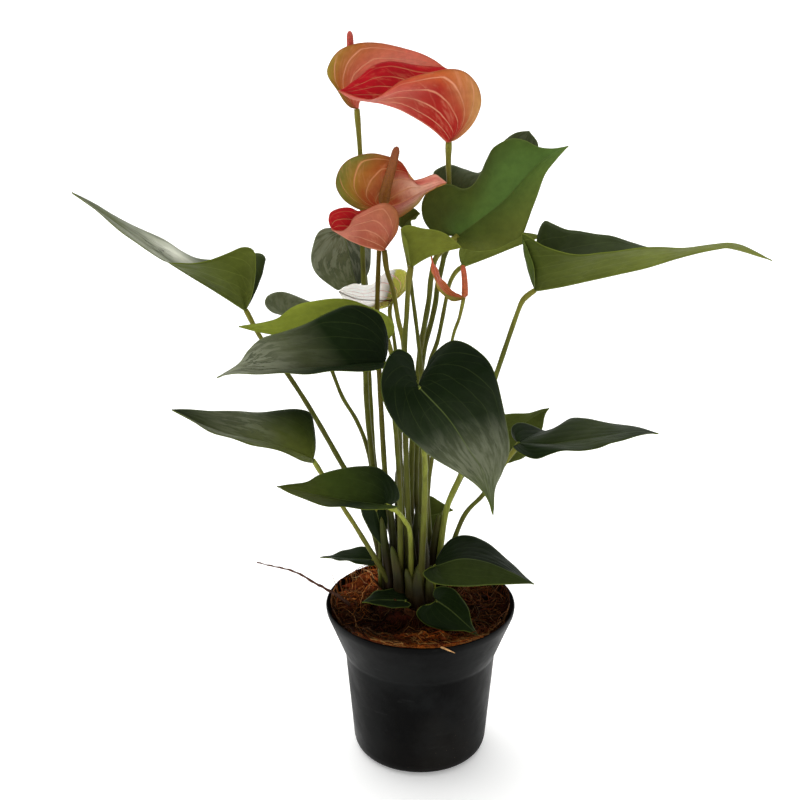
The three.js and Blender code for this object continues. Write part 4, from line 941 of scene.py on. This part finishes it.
class Look(Nodes):
    """A material. Its constants go straight to the shader's sockets."""

    def __init__(self, name, **constants):
        self.material = bpy.data.materials.new(name)
        self.material.use_nodes = True
        self.tree = self.material.node_tree
        self.tree.nodes.clear()
        self.shader = self.tree.nodes.new("ShaderNodeBsdfPrincipled")
        output = self.tree.nodes.new("ShaderNodeOutputMaterial")
        self.tree.links.new(self.shader.outputs[0], output.inputs["Surface"])
        for key, value in constants.items():
            self.plug(self.shader.inputs[key.replace("_", " ")], value)

    def finished(self, colour, roughness, normal):
        self.plug(self.shader.inputs["Base Color"], colour)
        self.plug(self.shader.inputs["Roughness"], roughness)
        self.plug(self.shader.inputs["Normal"], normal)
        return self.material

    def attribute(self, name, output="Vector"):
        return self.node("ShaderNodeAttribute", {}, output, attribute_name=name)

    def tint(self):
        return self.attribute("tint", "Color")

    def combined(self, x, y, z):
        return self.node("ShaderNodeCombineXYZ", {0: x, 1: y, 2: z})

    def stretched(self, *scale):
        return self.node("ShaderNodeVectorMath", {0: self.place(), 1: scale}, operation="MULTIPLY")

    def noise(self, scale, detail=3.0, roughness=0.55, vector=None):
        inputs = {"Scale": scale, "Detail": detail, "Roughness": roughness, "Vector": vector or self.place()}
        return self.node("ShaderNodeTexNoise", inputs)

    def cells(self, scale):
        return self.node("ShaderNodeTexVoronoi", {"Scale": scale, "Vector": self.place()}, "Distance")

    def blend(self, factor, a, b, mode="MIX"):
        inputs = {0: factor, 6: a, 7: b}
        return self.node("ShaderNodeMix", inputs, 2, data_type="RGBA", blend_type=mode)

    def bump(self, height, distance, strength=1.0, under=None):
        inputs = {"Height": height, "Distance": distance, "Strength": strength}
        if under:
            inputs["Normal"] = under
        return self.node("ShaderNodeBump", inputs)


def blade_look(name, vein, veins, margin, ridge, roughness, heart=None, painted_sheen=None, **constants):
    """The face of a leaf or spathe: its tint with veins, an edge line, mottling and fine grain.

    It reads the attributes of blade_mesh: tint, blade, which is (t, signed s, half width in mm), and veins,
    which is (how far out the long vein lies, distance from the joint in ribs, strength of heart or painted
    sheen).

    vein, margin, heart and the sheen colour are colours: heart spreads from the joint, and the sheen is a
    painted grey highlight in streaks, crossed by thin dark lines of painted shade in its creases. veins is
    (share of the long veins, share of the side veins, half width). ridge is the veins' height in metres,
    below zero where they sink.
    """
    look = Look(name, **constants)
    t, s, width = look.parts(look.attribute("blade"))
    number, from_joint, strength = look.parts(look.attribute("veins"))
    s = abs(s)
    rib_distance = s * width
    edge_distance = width - rib_distance
    drift = (look.noise(60.0, 2.0) - 0.5) * 0.05

    def lines(position, count, half_width):
        off = look.math("FRACT", (position + drift) * count + 0.5) - 0.5
        return look.smooth(abs(off), half_width, 0.0)

    long_share, side_share, half_width = veins
    inside = look.smooth(edge_distance, 0.5, 5.0)
    long_veins = lines(number, LONG_VEINS, half_width) * inside
    side_veins = lines(t - s * s * VEIN_SWEEP, SIDE_VEINS, half_width * 0.7) * inside
    midrib = look.smooth(rib_distance / (1.1 - t * 0.7), 1.0, 0.3)
    drawn = look.math("MAXIMUM", long_veins * long_share, side_veins * side_share)
    drawn = look.math("MAXIMUM", drawn, midrib * (0.75 - t * 0.45))
    faded = drawn * look.smooth(look.noise(45.0, 3.0), 0.3, 0.6, 0.45, 1.0)

    broad = look.smooth(look.noise(32.0, 4.0), 0.3, 0.7, 0.86, 1.12)
    fine = look.smooth(look.noise(240.0, 5.0), 0.25, 0.75, 0.9, 1.1)
    colour = look.blend(1.0, look.tint(), broad * fine, "MULTIPLY")
    along_veins = look.combined(t * 3.5, (number - t * 0.6) * 3.0, width * 0.03)
    streaks = look.noise(2.4, 5.0, 0.62, along_veins)
    if heart:
        rough = (look.noise(70.0, 4.0) - 0.5) * 0.3
        near = look.smooth(from_joint + rough, 0.8, 0.08, 0.0, 0.95)
        between = look.smooth(lines(number, LONG_VEINS, 0.5), 0.1, 0.9, 1.0, 0.6)
        middle = 1.0 - s * s
        spread = near * (middle * 0.6 + 0.4) * between
        colour = look.blend(spread * strength, colour, heart)
        colour = look.blend(look.smooth(streaks, 0.52, 0.7, 0.0, 0.22), colour, vein)
        darker = look.smooth(streaks, 0.48, 0.32, 0.0, 0.5) * middle
        colour = look.blend(darker * strength, colour, heart)
    # Painted sheen: grey streaks of painted highlight, crossed by thin dark lines of painted shade in
    # creases.
    if painted_sheen:
        colour = look.blend(look.smooth(streaks, 0.36, 0.64, 0.2, 0.55) * strength, colour, painted_sheen)
        crease_shade = look.smooth(abs(streaks - 0.47), 0.045, 0.01)
        sparse = look.smooth(look.noise(55.0, 2.0), 0.45, 0.6, 0.0, 0.8) * strength
        colour = look.blend(crease_shade * sparse, colour, CREASE_SHADE)
    colour = look.blend(faded, colour, vein)
    colour = look.blend(look.smooth(edge_distance, 0.8, 0.2, 0.0, 0.4), colour, margin)
    mottled = look.smooth(look.noise(90.0, 4.0), 0.3, 0.7, roughness - 0.06, roughness + 0.08)
    wrinkles = look.bump(look.noise(120.0, 4.0), 0.0005, 0.5, look.bump(drawn, ridge))
    return look.finished(colour, mottled, look.bump(look.noise(1500.0, 3.0), 0.00005, 0.5, wrinkles))


def stem_look():
    look = Look("stem", Specular_IOR_Level=0.1)
    streaks = look.noise(9.0, 4.0, vector=look.stretched(60.0, 60.0, 4.0))
    streaked = look.blend(1.0, look.tint(), look.smooth(streaks, 0.3, 0.7, 0.78, 1.18), "MULTIPLY")
    blotches = look.smooth(look.noise(70.0, 4.0), 0.35, 0.75) * 0.3
    colour = look.blend(blotches, streaked, srgb(72, 50, 22))
    return look.finished(colour, look.smooth(streaks, 0.3, 0.7, 0.36, 0.5), look.bump(streaks, 0.00018))


def spadix_look():
    look = Look("spadix", Specular_IOR_Level=0.35)
    cells = look.cells(900.0)
    colour = look.blend(look.smooth(cells, 0.25, 0.75, 0.0, 0.45), look.tint(), srgb(110, 60, 30))
    roughness = look.smooth(look.noise(300.0), 0.3, 0.7, 0.5, 0.65)
    return look.finished(colour, roughness, look.bump(1.0 - cells, 0.0002))


def pot_look():
    look = Look("pot_plastic", Specular_IOR_Level=0.05)
    smears = look.noise(26.0, 6.0, 0.62)
    dust = look.smooth(look.noise(9.0, 5.0), 0.48, 0.72)
    scratches = look.noise(14.0, 5.0, 0.7, look.stretched(3.0, 3.0, 22.0))
    specks = look.smooth(look.cells(300.0), 0.1, 0.04)
    colour = look.blend(look.smooth(smears, 0.42, 0.66), srgb(1, 1, 1), srgb(17, 18, 18))
    colour = look.blend(dust * 0.1, colour, srgb(70, 62, 54))
    colour = look.blend(look.smooth(scratches, 0.6, 0.78, 0.0, 0.12), colour, srgb(90, 90, 88))
    colour = look.blend(specks * (dust * 0.5), colour, srgb(120, 96, 74))
    roughness = look.smooth(smears, 0.35, 0.7, 0.36, 0.56) + dust * 0.12
    wavy = look.bump(look.noise(30.0, 3.0), 0.0012, 0.7)
    return look.finished(colour, roughness, look.bump(look.noise(1100.0, 3.0), 0.00004, 0.7, wavy))


def soil_look():
    look = Look("planting_mix", Specular_IOR_Level=0.03)
    crumbs = look.cells(230.0)
    patches = look.smooth(look.noise(60.0, 5.0), 0.35, 0.65)
    base = look.blend(patches, srgb(60, 24, 12), srgb(130, 62, 26))
    lumpy = look.blend(look.smooth(crumbs, 0.2, 0.7, 0.0, 0.6), srgb(150, 74, 30), base)
    colour = look.blend(1.0, lumpy, look.tint(), "MULTIPLY")
    rough = look.bump(crumbs, 0.0015)
    return look.finished(colour, 0.92, look.bump(look.noise(700.0, 6.0), 0.0006, under=rough))


def dry_look(name, roughness, streak):
    """Dry plant matter whose colour is its tint: fibres, scales, twigs and roots."""
    look = Look(name, Specular_IOR_Level=0.06)
    grain = look.noise(30.0, 5.0, vector=look.stretched(25.0, 25.0, 6.0))
    value = look.smooth(grain, 0.3, 0.7, 1 - streak, 1 + streak)
    return look.finished(look.blend(1.0, look.tint(), value, "MULTIPLY"), roughness, look.bump(grain, 0.0004))


# ---------------------------------------------------------------- leaves and flowers


def tone_at(tone, t, s):
    """A colour for each point of a blade's half.

    tone is one colour, a list from the lobe to the tip, or a list of such lists from the rib to the edge.
    """
    stops = np.array(tone)
    stops = stops.reshape((1,) * (3 - stops.ndim) + stops.shape)
    rows = [interpolated(t, np.linspace(0, 1, len(row)), row) for row in stops]
    place = s * (len(rows) - 1)
    first = np.clip(place.astype(int), 0, max(0, len(rows) - 2))
    share = (place - first)[:, None]
    rows = np.stack(rows + rows[-1:])
    each = np.arange(len(t))
    return rows[first, each] * (1 - share) + rows[first + 1, each] * share


def blade_tint(places, tones):
    """Tints of the upper and the lower skin, blended across the rib."""
    t, s = places[:, 0], places[:, 1]
    left = np.clip(s / 0.06 + 0.5, 0, 1)[:, None]
    return np.concatenate([
        tone_at(left_tone, t, np.abs(s)) * left + tone_at(right_tone, t, np.abs(s)) * (1 - left)
        for left_tone, right_tone in (tones[:2], tones[2:])
    ])


def blade_mesh(shape, tones, grid, seed, camber, strengths):
    """Points, polygons, tint, attributes and material slots of a whole blade.

    strengths are those of its painted sheen or its heart, evenly spaced from lobe to tip.
    """
    points, faces, places = blade_sheet(shape, *grid)
    t, s, width = places[:, 0], np.abs(places[:, 1]), places[:, 2]
    lift = blade_relief(points, places, seed, camber)
    points = points + vertex_normals(points, faces) * lift[:, None]
    thickness = BLADE_THICKNESS + (EDGE_THICKNESS - BLADE_THICKNESS) * s
    thickness = thickness + MIDRIB_HEIGHT * np.exp(-((s * width / MIDRIB_WIDTH) ** 2)) * (1 - 0.75 * t)
    from_joint = np.linalg.norm(points - on_sight_line(shape["rib"][0], shape["depth"][0]), axis=1)
    rib = spline(on_sight_line(shape["rib"], np.linspace(*shape["depth"], len(shape["rib"]))))
    strength = np.interp(t, np.linspace(0, 1, len(strengths)), strengths)
    veins = np.stack([long_vein(places), from_joint / rib.length, strength], -1)
    skins, polygons, upper = thicken(points, faces, thickness)
    attributes = {"blade": np.concatenate([places, places]), "veins": np.concatenate([veins, veins])}
    slots = [0] * upper + [1] * (len(polygons) - upper)
    return skins, polygons, blade_tint(places, tones), attributes, slots


def stem_points(shape):
    """The centres of a stem from its blade down to the crown, which a high stem meets upright."""
    joint = on_sight_line(shape["rib"][0], shape["depth"][0])
    foot = np.array([*shape["foot"], CROWN_LEVEL - STEM_SINK])
    upright = [foot + (0, 0, 15)] if joint[2] >= CROWN_LEVEL + 20 else []
    return np.array([joint, *on_sight_lines(shape["via"]), *upright, foot])


def stem_mesh(name, shape, swell=0.3):
    """A stem with a swollen joint under its blade and a widening sheath at its foot, and its tint."""
    curve = spline(stem_points(shape))
    share = np.linspace(0, 1, max(12, int(curve.length / STEM_STEP)) + 1)
    down = share * curve.length
    top, bottom = shape["radii"]
    radii = top + (bottom - top) * share
    radii = radii * (1 + swell * np.exp(-(((down - JOINT_MIDDLE) / JOINT_SPREAD) ** 2)))
    radii = radii * (1 + SHEATH_SWELL * np.exp(-((curve.length - down) / SHEATH_SPREAD)))
    radii = radii + 0.06 * np.sin(down * 0.35 + shape["foot"][0])
    points, polygons = tube(curve(share), radii, STEM_SIDES)
    tint = interpolated(share, STEM_STOPS, STEM_TONES.get(name, PLAIN_STEM))
    return points, polygons, np.repeat(tint, STEM_SIDES, axis=0)


def add_stem(kind, name, shape):
    points, polygons, tint = stem_mesh(name, shape)
    make_piece(f"{kind}_of_{name}", points, polygons, [STEM], kind, f"{kind}_{name}", tint)


def add_leaf(name, shape, grid, seed):
    points, polygons, tint, vectors, slots = blade_mesh(
        shape, LEAF_TONES.get(name, OTHER_TONES), grid, seed, LEAF_CAMBER, SHEEN_STRENGTH.get(name, [0])
    )
    materials = [LEAF_UPPER, LEAF_UNDER]
    if name in TINY_LEAVES:
        stem, stem_polygons, stem_tint = stem_mesh(name, shape, swell=0.1)
        points, polygons = joined([(points, polygons), (stem, stem_polygons)])
        vectors = {key: np.concatenate([value, np.zeros_like(stem)]) for key, value in vectors.items()}
        tint = np.concatenate([tint, stem_tint])
        slots += [2] * len(stem_polygons)
        materials.append(STEM)
    else:
        add_stem("petiole", name, shape)
    slot = "young_leaf" if name == "left_young" else "leaf"
    make_piece(f"blade_{name}", points, polygons, materials, slot, f"leaf_{name}", tint, vectors, slots)


def add_flower(name, shape, seed):
    points, polygons, tint, vectors, slots = blade_mesh(
        shape, FLOWER_TONES[name], FLOWER_GRID, seed, FLOWER_CAMBER, [HEART[name]]
    )
    pale = name == "pale"
    materials = [PALE_INSIDE, PALE_OUTSIDE] if pale else [SPATHE_INSIDE, SPATHE_OUTSIDE]
    slot = "pale_spathe" if pale else "spathe"
    make_piece(f"bract_{name}", points, polygons, materials, slot, f"spathe_{name}", tint, vectors, slots)
    add_stem("peduncle", name, shape)
    add_spadix(name, shape)


def add_spadix(name, shape):
    """A tapered spike covered in small domes set in turning rows."""
    curve = spline(on_sight_lines(shape["spadix"]))
    foot, tip = shape["spadix_radii"]
    share = np.linspace(0, 1, max(60, int(curve.length * SPADIX_RINGS)) + 1)
    from_end = np.minimum(share, 1 - share) / 0.1
    radii = (foot + (tip - foot) * share) * np.sqrt((1 - (1 - from_end).clip(0) ** 2 * 0.96).clip(0.02))
    rows = share * curve.length / DOME_ROW

    def domes(ring, angles):
        turn = rows[ring] * np.pi
        return DOME_HEIGHT * (np.cos(DOMES_ROUND * angles + turn) * math.cos(turn)) * min(1.0, radii[ring])

    points, polygons = tube(curve(share), radii, SPADIX_SIDES, domes)
    low, high = np.array(SPADIX_TONES[name])
    tint = np.repeat(low + (high - low) * share[:, None], SPADIX_SIDES, axis=0)
    make_piece(f"spike_{name}", points, polygons, [SPADIX], "spadix", f"spadix_{name}", tint)


# ---------------------------------------------------------------- pot, planting mix and crown


def add_pot():
    pot = make_piece("nursery_pot", *turned(POT_OUTER + POT_INNER, POT_SEGMENTS), [POT], "pot", "pot")
    wall, sides = turned(DRAIN_PROFILE, DRAIN_SEGMENTS)
    centres = [(DRAIN_CIRCLE * math.cos(a), DRAIN_CIRCLE * math.sin(a), 0) for a in circle(DRAIN_HOLES)]
    cutter = mesh_object("drain_cutter", *joined([(wall + centre, sides) for centre in centres]))
    cut = pot.modifiers.new("drain", "BOOLEAN")
    cut.object, cut.operation, cut.solver = cutter, "DIFFERENCE", "EXACT"
    graph = bpy.context.evaluated_depsgraph_get()
    made = bpy.data.meshes.new_from_object(pot.evaluated_get(graph))
    pot.modifiers.clear()
    pot.data = made
    bpy.data.objects.remove(cutter)
    sharpen(pot, POT_SHARP_ANGLE)


def sharpen(piece, degrees):
    """Shades the piece smooth, apart from edges that turn by more than the angle."""
    mesh = bmesh.new()
    mesh.from_mesh(piece.data)
    limit = math.radians(degrees)
    for edge in mesh.edges:
        edge.smooth = len(edge.link_faces) != 2 or edge.calc_face_angle(0) < limit
    mesh.to_mesh(piece.data)
    mesh.free()


def swell_at(x, y, spots):
    """The sum of spots (amount, bearing in degrees, distance, spread) that fade to 0 round their middles."""
    total = 0
    for amount, bearing, distance, spread in spots:
        facing = max(0, math.cos(math.atan2(y, x) - math.radians(bearing)))
        total += amount * (facing**2 * math.exp(-(((math.hypot(x, y) - distance) / spread) ** 2)))
    return total


def soil_height(x, y):
    """Level of the planting mix: lumpy, heaped at the back left and the front rim, low at both sides."""
    place = Vector((x, y, 0))
    lumps = sum(height * noise.noise(place * fineness) for height, fineness in SOIL_LUMPS)
    edge = max(0, (math.hypot(x, y) - 50) / 7)
    level = SOIL_LEVEL - 0.8 + swell_at(x, y, SOIL_HEAPS) - swell_at(x, y, SOIL_DIPS)
    return level + lumps * (1 - 0.6 * edge) - edge


def soil_light(x, y):
    """How pale the planting mix is: pale coir at the back left and the front rim, painted shade in the dips
    at both sides.
    """
    patch = noise.noise(Vector((x, y, 40)) * 0.08)
    return max(0.015, 0.09 + 0.16 * patch + swell_at(x, y, PALE_COIR) - swell_at(x, y, SHADED_DIPS))


def ground_height(x, y):
    """The soil, or the mound of the crown where it stands higher."""
    share = min(1, max(0, (CROWN_RADIUS + 1 - math.hypot(x, y)) / 9))
    return max(soil_height(x, y), SOIL_LEVEL - 3 + (CROWN_LEVEL - SOIL_LEVEL + 3) * math.sqrt(share))


def add_soil():
    rows = [turned(SOIL_SIDE, SOIL_SEGMENTS)[0]]
    for ring in range(1, SOIL_RINGS + 1):
        radius = SOIL_SPAN * (1 - ring / SOIL_RINGS) + SOIL_FLAT
        row = [(radius * math.cos(a), radius * math.sin(a)) for a in circle(SOIL_SEGMENTS)]
        rows.append(np.array([(x, y, soil_height(x, y)) for x, y in row]))
    points = np.concatenate(rows)
    polygons = ring_polygons(len(SOIL_SIDE) + SOIL_RINGS, SOIL_SEGMENTS)
    tint = np.array([[soil_light(x, y)] * 3 for x, y, _ in points])
    make_piece("planting_mix", points, polygons, [SOIL], "soil", "soil", tint)


def strand(start, heading, length, radius, curl, lift, reach):
    """A curved fibre that follows the ground from start, no farther out than reach: points, polygons."""
    steps = max(5, int(length / STRAND_STEP))
    centres = []
    x, y = start
    for i in range(steps + 1):
        out = math.hypot(x, y)
        if out > reach:
            x, y = x * reach / out, y * reach / out
        ground = ground_height(x, y)
        if out > RIM_FOOT:
            climb = min(1, (out - RIM_FOOT) / 2)
            ground = max(ground, RIM_TOP * climb + ground * (1 - climb))
        centres.append((x, y, ground + 0.3 + lift * math.sin(math.pi * i / steps)))
        heading += curl / steps + random.gauss(0, STRAND_WANDER)
        x += math.cos(heading) * length / steps
        y += math.sin(heading) * length / steps
    radii = radius * (1 - 0.6 * np.abs(np.linspace(-1, 1, steps + 1)) ** 3)
    return tube(centres, radii, STRAND_SIDES)


def coir_tone(tones, darkest, palest, x, y):
    """One of the tones at random, as pale as the planting mix is at the place."""
    # Chips and strands in the dips get the same painted shade.
    return np.array(random.choice(tones)) * random.uniform(darkest, palest) * (0.04 + soil_light(x, y))


def add_fibres(name, count, lengths, radii, tones, lift, curl, zone=(0, 180), out=(14, 56), reach=SOIL_REACH):
    """Loose strands on the planting mix, as one piece.

    zone is the middle bearing and half width of the arc they start in, in degrees, and out the range of
    their distance from the axis. Where they may reach the rim, they run along it.
    """
    bits = []
    for _ in range(count):
        start_out = math.sqrt(random.uniform(out[0] ** 2, out[1] ** 2))
        bearing = math.radians(random.uniform(zone[0] - zone[1], zone[0] + zone[1]))
        x, y = start_out * math.cos(bearing), start_out * math.sin(bearing)
        if reach < RIM_REACH:
            heading = random.uniform(0, 2 * math.pi)
        else:
            heading = bearing + math.pi / 2 + random.gauss(0, 0.5)
        length, radius = random.uniform(*lengths), random.uniform(*radii)
        bend, rise = random.uniform(-curl, curl), random.uniform(0, lift)
        bit = strand((x, y), heading, length, radius, bend, rise, reach)
        bits.append((bit, coir_tone(tones, 0.6, 1.4, x, y)))
    make_bundle(name, bits, FIBRE, "soil")


def add_chips():
    """Small lumps of bark and peat, pressed into the planting mix."""
    bits = []
    for _ in range(CHIP_COUNT):
        out = CHIP_REACH * math.sqrt(random.uniform(0.08, 1))
        bearing = random.uniform(0, 2 * math.pi)
        x, y = out * math.cos(bearing), out * math.sin(bearing)
        size = random.uniform(*CHIP_SIZES)
        chip = bmesh.new()
        bmesh.ops.create_icosphere(chip, subdivisions=2, radius=1)
        offset = Vector((random.uniform(0, 50), 0, 0))
        for vert in chip.verts:
            vert.co *= 1 + 0.55 * noise.noise(vert.co * 1.6 + offset)
        turn = random.uniform(0, math.pi)
        cos, sin = math.cos(turn), math.sin(turn)
        local = np.array([vert.co for vert in chip.verts]) * (size * np.array(CHIP_STRETCH))
        local = local @ np.array([[cos, sin, 0], [-sin, cos, 0], [0, 0, 1]])
        centre = np.array([x, y, soil_height(x, y) + 0.15 * size])
        bit = (local + centre, [tuple(v.index for v in face.verts) for face in chip.faces])
        chip.free()
        bits.append((bit, coir_tone(SOIL_TONES[:4], 0.4, 1.0, x, y)))
    make_bundle("bark_chips", bits, FIBRE, "soil")


def add_crown():
    """The knotted mound that the stems rise from."""
    points, polygons = turned(CROWN_PROFILE, CROWN_SEGMENTS)
    outward = points * (1, 1, 0) / np.maximum(np.linalg.norm(points[:, :2], axis=1, keepdims=True), 1)
    outward[:, 2] = 0.6
    swell = np.array([
        [1.4 * noise.noise(Vector(p) * 0.16) + 1.2 * noise.noise(Vector(p) * 0.45 + Vector((9, 0, 0)))]
        for p in points
    ])
    # The tint follows the swell: lighter where the mound bulges and darker in its hollows, painted shade.
    tint = np.array(SOIL_TONES[3]) * 0.2 * (1 + 0.6 * swell).clip(0.35, 1.8)
    make_piece("crown_mound", points + outward * swell, polygons, [FIBRE], "crown", "crown", tint)


def scale_leaf(bearing, distance, height, lean, width, twist):
    """A dry papery scale that stands up from the crown and wraps a little round the stems."""
    rows, columns = SCALE_GRID
    out, side = axes_at(bearing)
    foot = out * distance + (0, 0, CROWN_LEVEL - SCALE_SINK)
    points = []
    for row in range(rows + 1):
        u = row / rows
        centre = foot + out * (lean * u**1.8) + np.array([0, 0, height * u])
        centre = centre + side * (twist * u**2)
        half = width / 2 * (1 - u) ** 0.55 * (0.75 + 0.5 * math.sin(math.pi * min(1, u * 1.3)))
        for column in range(columns + 1):
            v = 2 * column / columns - 1
            ripple = 0.35 * noise.noise(Vector((math.radians(bearing) * 5, u * 5, v * 2)))
            points.append(centre + side * (v * half) - out * (0.55 * half * v * v + ripple))
    across = columns + 1
    corners = [row * across + column for row in range(rows) for column in range(columns)]
    faces = np.array([(a, a + 1, a + across + 1, a + across) for a in corners])
    return thicken(np.array(points), faces, np.full(len(points), SCALE_THICKNESS))[:2]


def axes_at(bearing):
    """The directions outwards and sideways at a bearing in degrees."""
    cos, sin = math.cos(math.radians(bearing)), math.sin(math.radians(bearing))
    return np.array([cos, sin, 0]), np.array([-sin, cos, 0])


def add_scales():
    bits = []
    for *measures, tone in SCALES:
        bit = scale_leaf(*measures)
        shade = np.linspace(0.75, 1.2, len(bit[0]) // 2)
        bits.append((bit, np.array(tone) * np.concatenate([shade, shade * 0.8])[:, None]))
    make_bundle("crown_scales", bits, PAPER, "crown")


def add_shoots():
    """Rolled young leaves and old stalk sheaths that stand between the stems."""
    bits = []
    share = np.linspace(0, 1, SHOOT_RINGS)
    tint = interpolated(share, [0.2, 0.5, 1], [SHEATH_FOOT, STEM_FOOT, MOSS])
    for bearing, distance, height, lean, radius in SHOOTS:
        out, side = axes_at(bearing)
        foot = out * distance + (0, 0, CROWN_LEVEL - STEM_SINK)
        # The bearing serves as a phase here, so that each shoot bends its own way.
        bend = side * (0.06 * height * math.sin(bearing))
        top = foot + out * lean + (0, 0, height)
        curve = spline([foot, foot * 0.5 + top * 0.5 - out * (0.15 * lean) + bend, top])
        bit = tube(curve(share), radius * (1 - share**2.2) ** 0.5 + 0.15, SHOOT_SIDES)
        bits.append((bit, np.repeat(tint, SHOOT_SIDES, axis=0)))
    make_bundle("young_shoots", bits, STEM, "crown")


def add_twigs():
    """The dry twig over the left rim, the root over the front rim, and a few upright hairs."""
    share = np.linspace(0, 1, TWIG_RINGS)
    kinks = [
        (0, 0.3 * noise.noise(Vector((s * 14, 0, 0))), 0.5 * noise.noise(Vector((s * 14, 5, 0))))
        for s in share
    ]
    radii = 0.35 + 0.75 * share + 0.12 * np.sin(share * 60)
    points, polygons = tube(spline(on_sight_lines(TWIG))(share) + kinks, radii, TWIG_SIDES)
    tint = np.repeat(np.array(TWIG_TONE) * (1.25 - 0.5 * share)[:, None], TWIG_SIDES, axis=0)
    make_piece("dry_twig", points, polygons, [FIBRE], "twig", "twig", tint)
    share = np.linspace(0, 1, HAIR_RINGS)
    bits = []
    for path, radius, tone in HAIRS:
        curve = spline(on_sight_lines(path))
        bits.append((tube(curve(share), radius * (1 - 0.8 * share**2) + 0.04, HAIR_SIDES), tone))
    make_bundle("loose_roots", bits, FIBRE, "soil")


# ---------------------------------------------------------------- stage


def add_lamp(name, energy, rotation, spread):
    """A sun that gloss doesn't show, with its rotation and the width of its disc in degrees."""
    data = bpy.data.lights.new(name, "SUN")
    data.energy, data.angle = energy, math.radians(spread)
    lamp = bpy.data.objects.new(name, data)
    lamp.rotation_euler = [math.radians(a) for a in rotation]
    lamp.visible_glossy = False
    bpy.context.scene.collection.objects.link(lamp)
    return lamp


def add_stage():
    scene = bpy.context.scene
    camera = bpy.data.objects.new("photo_camera", bpy.data.cameras.new("photo_camera"))
    camera.location = EYE * METRE
    camera.rotation_euler = (math.pi / 2 - CAMERA_PITCH, 0, 0)
    camera.data.lens = CAMERA_LENS
    scene.collection.objects.link(camera)
    scene.camera = camera

    edge = [(FLOOR_RADIUS * math.cos(a), FLOOR_RADIUS * math.sin(a), 0) for a in circle(FLOOR_SEGMENTS)]
    floor = mesh_object("floor", edge, [tuple(range(FLOOR_SEGMENTS))])
    floor_look = Look(
        "floor", Base_Color=srgb(251, 251, 250), Roughness=0.8, Specular_IOR_Level=0.2,
        Emission_Color=(1.0, 1.0, 1.0), Emission_Strength=FLOOR_GLOW,
    )
    floor.data.materials.append(floor_look.material)

    world = bpy.data.worlds.new("studio")
    scene.world = world
    world.use_nodes = True
    sky = Nodes(world.node_tree)
    _, y, z = sky.parts(sky.place("Generated"))
    walls = sky.smooth(y, -0.6, 0.5, FRONT_WALL, BACK_WALL)
    low_walls = sky.smooth(z, 0.5, 0.28, 0.0, BACK_WALL)
    background = world.node_tree.nodes["Background"]
    sky.plug(background.inputs["Strength"], sky.math("MAXIMUM", walls, low_walls))
    sky.plug(background.inputs["Color"], (1.0, 1.0, 1.0))

    add_lamp("overhead", 1.9, (-14, -12, 0), 80)
    add_lamp("front_fill", 0.3, (50, 18, 0), 70)
    add_lamp("sheen", 0.25, (-24, -14, 0), 30).visible_glossy = True
    scene.view_settings.view_transform = "Standard"


# ---------------------------------------------------------------- the plant

# The upper side's sheen colour is a painted grey highlight.
LEAF_UPPER = blade_look(
    "leaf_upper", srgb(92, 106, 54), (0.13, 0.05, 0.045), srgb(104, 118, 48), -0.00025, 0.42,
    painted_sheen=srgb(172, 176, 152), Specular_IOR_Level=0.06,
)
LEAF_UNDER = blade_look(
    "leaf_under", srgb(124, 136, 60), (0.22, 0.12, 0.05), srgb(130, 142, 56), 0.0003, 0.52,
    Specular_IOR_Level=0.02,
)
SPATHE_INSIDE = blade_look(
    "spathe_inside", srgb(224, 152, 104), (0.75, 0.14, 0.09), srgb(150, 70, 44), -0.0003, 0.38, CRIMSON,
    Specular_IOR_Level=0.1,
)
SPATHE_OUTSIDE = blade_look(
    "spathe_outside", srgb(232, 160, 124), (0.7, 0.08, 0.1), srgb(150, 84, 52), 0.0004, 0.46, MAROON,
    Specular_IOR_Level=0.08,
)
# The pale flower lets some light through.
GLOW = {"Subsurface_Weight": 0.8, "Subsurface_Scale": 0.004, "Subsurface_Radius": (1.0, 1.0, 1.0)}
PALE_INSIDE = blade_look(
    "pale_inside", srgb(206, 84, 76), (1.0, 0.3, 0.08), srgb(190, 180, 120), -0.0003, 0.4,
    Specular_IOR_Level=0.1, **GLOW,
)
PALE_OUTSIDE = blade_look(
    "pale_outside", srgb(200, 90, 76), (0.9, 0.2, 0.07), srgb(170, 164, 90), 0.0003, 0.45,
    Specular_IOR_Level=0.1, **GLOW,
)
STEM = stem_look()
SPADIX = spadix_look()
POT = pot_look()
SOIL = soil_look()
FIBRE = dry_look("dry_fibre", 0.85, 0.35)
PAPER = dry_look("dry_scale", 0.7, 0.5)

add_stage()
add_pot()
add_soil()
add_chips()
add_fibres("coir_fibres", 1500, (7, 26), (0.1, 0.26), SOIL_TONES, 2.4, 1.6)
add_fibres("long_fibres", 140, (20, 48), (0.12, 0.24), SOIL_TONES[::2], 5.0, 3.2)
add_fibres("rim_fibres", 520, (12, 34), (0.14, 0.34), RIM_TONES, 2.6, 1.2, (-106, 40), (42, 59), RIM_REACH)
add_fibres("pale_roots", 22, (25, 55), (0.18, 0.34), [TAN_ROOT], 8, 3.5, reach=54)
add_crown()
add_shoots()
add_scales()
add_twigs()
for number, (name, shape) in enumerate(LEAVES.items()):
    add_leaf(name, shape, LEAF_GRID, number)
for number, (name, shape) in enumerate(TINY_LEAVES.items()):
    add_leaf(name, shape, TINY_GRID, TINY_SEED + number)
for number, (name, shape) in enumerate(FLOWERS.items()):
    add_flower(name, shape, FLOWER_SEED + number)
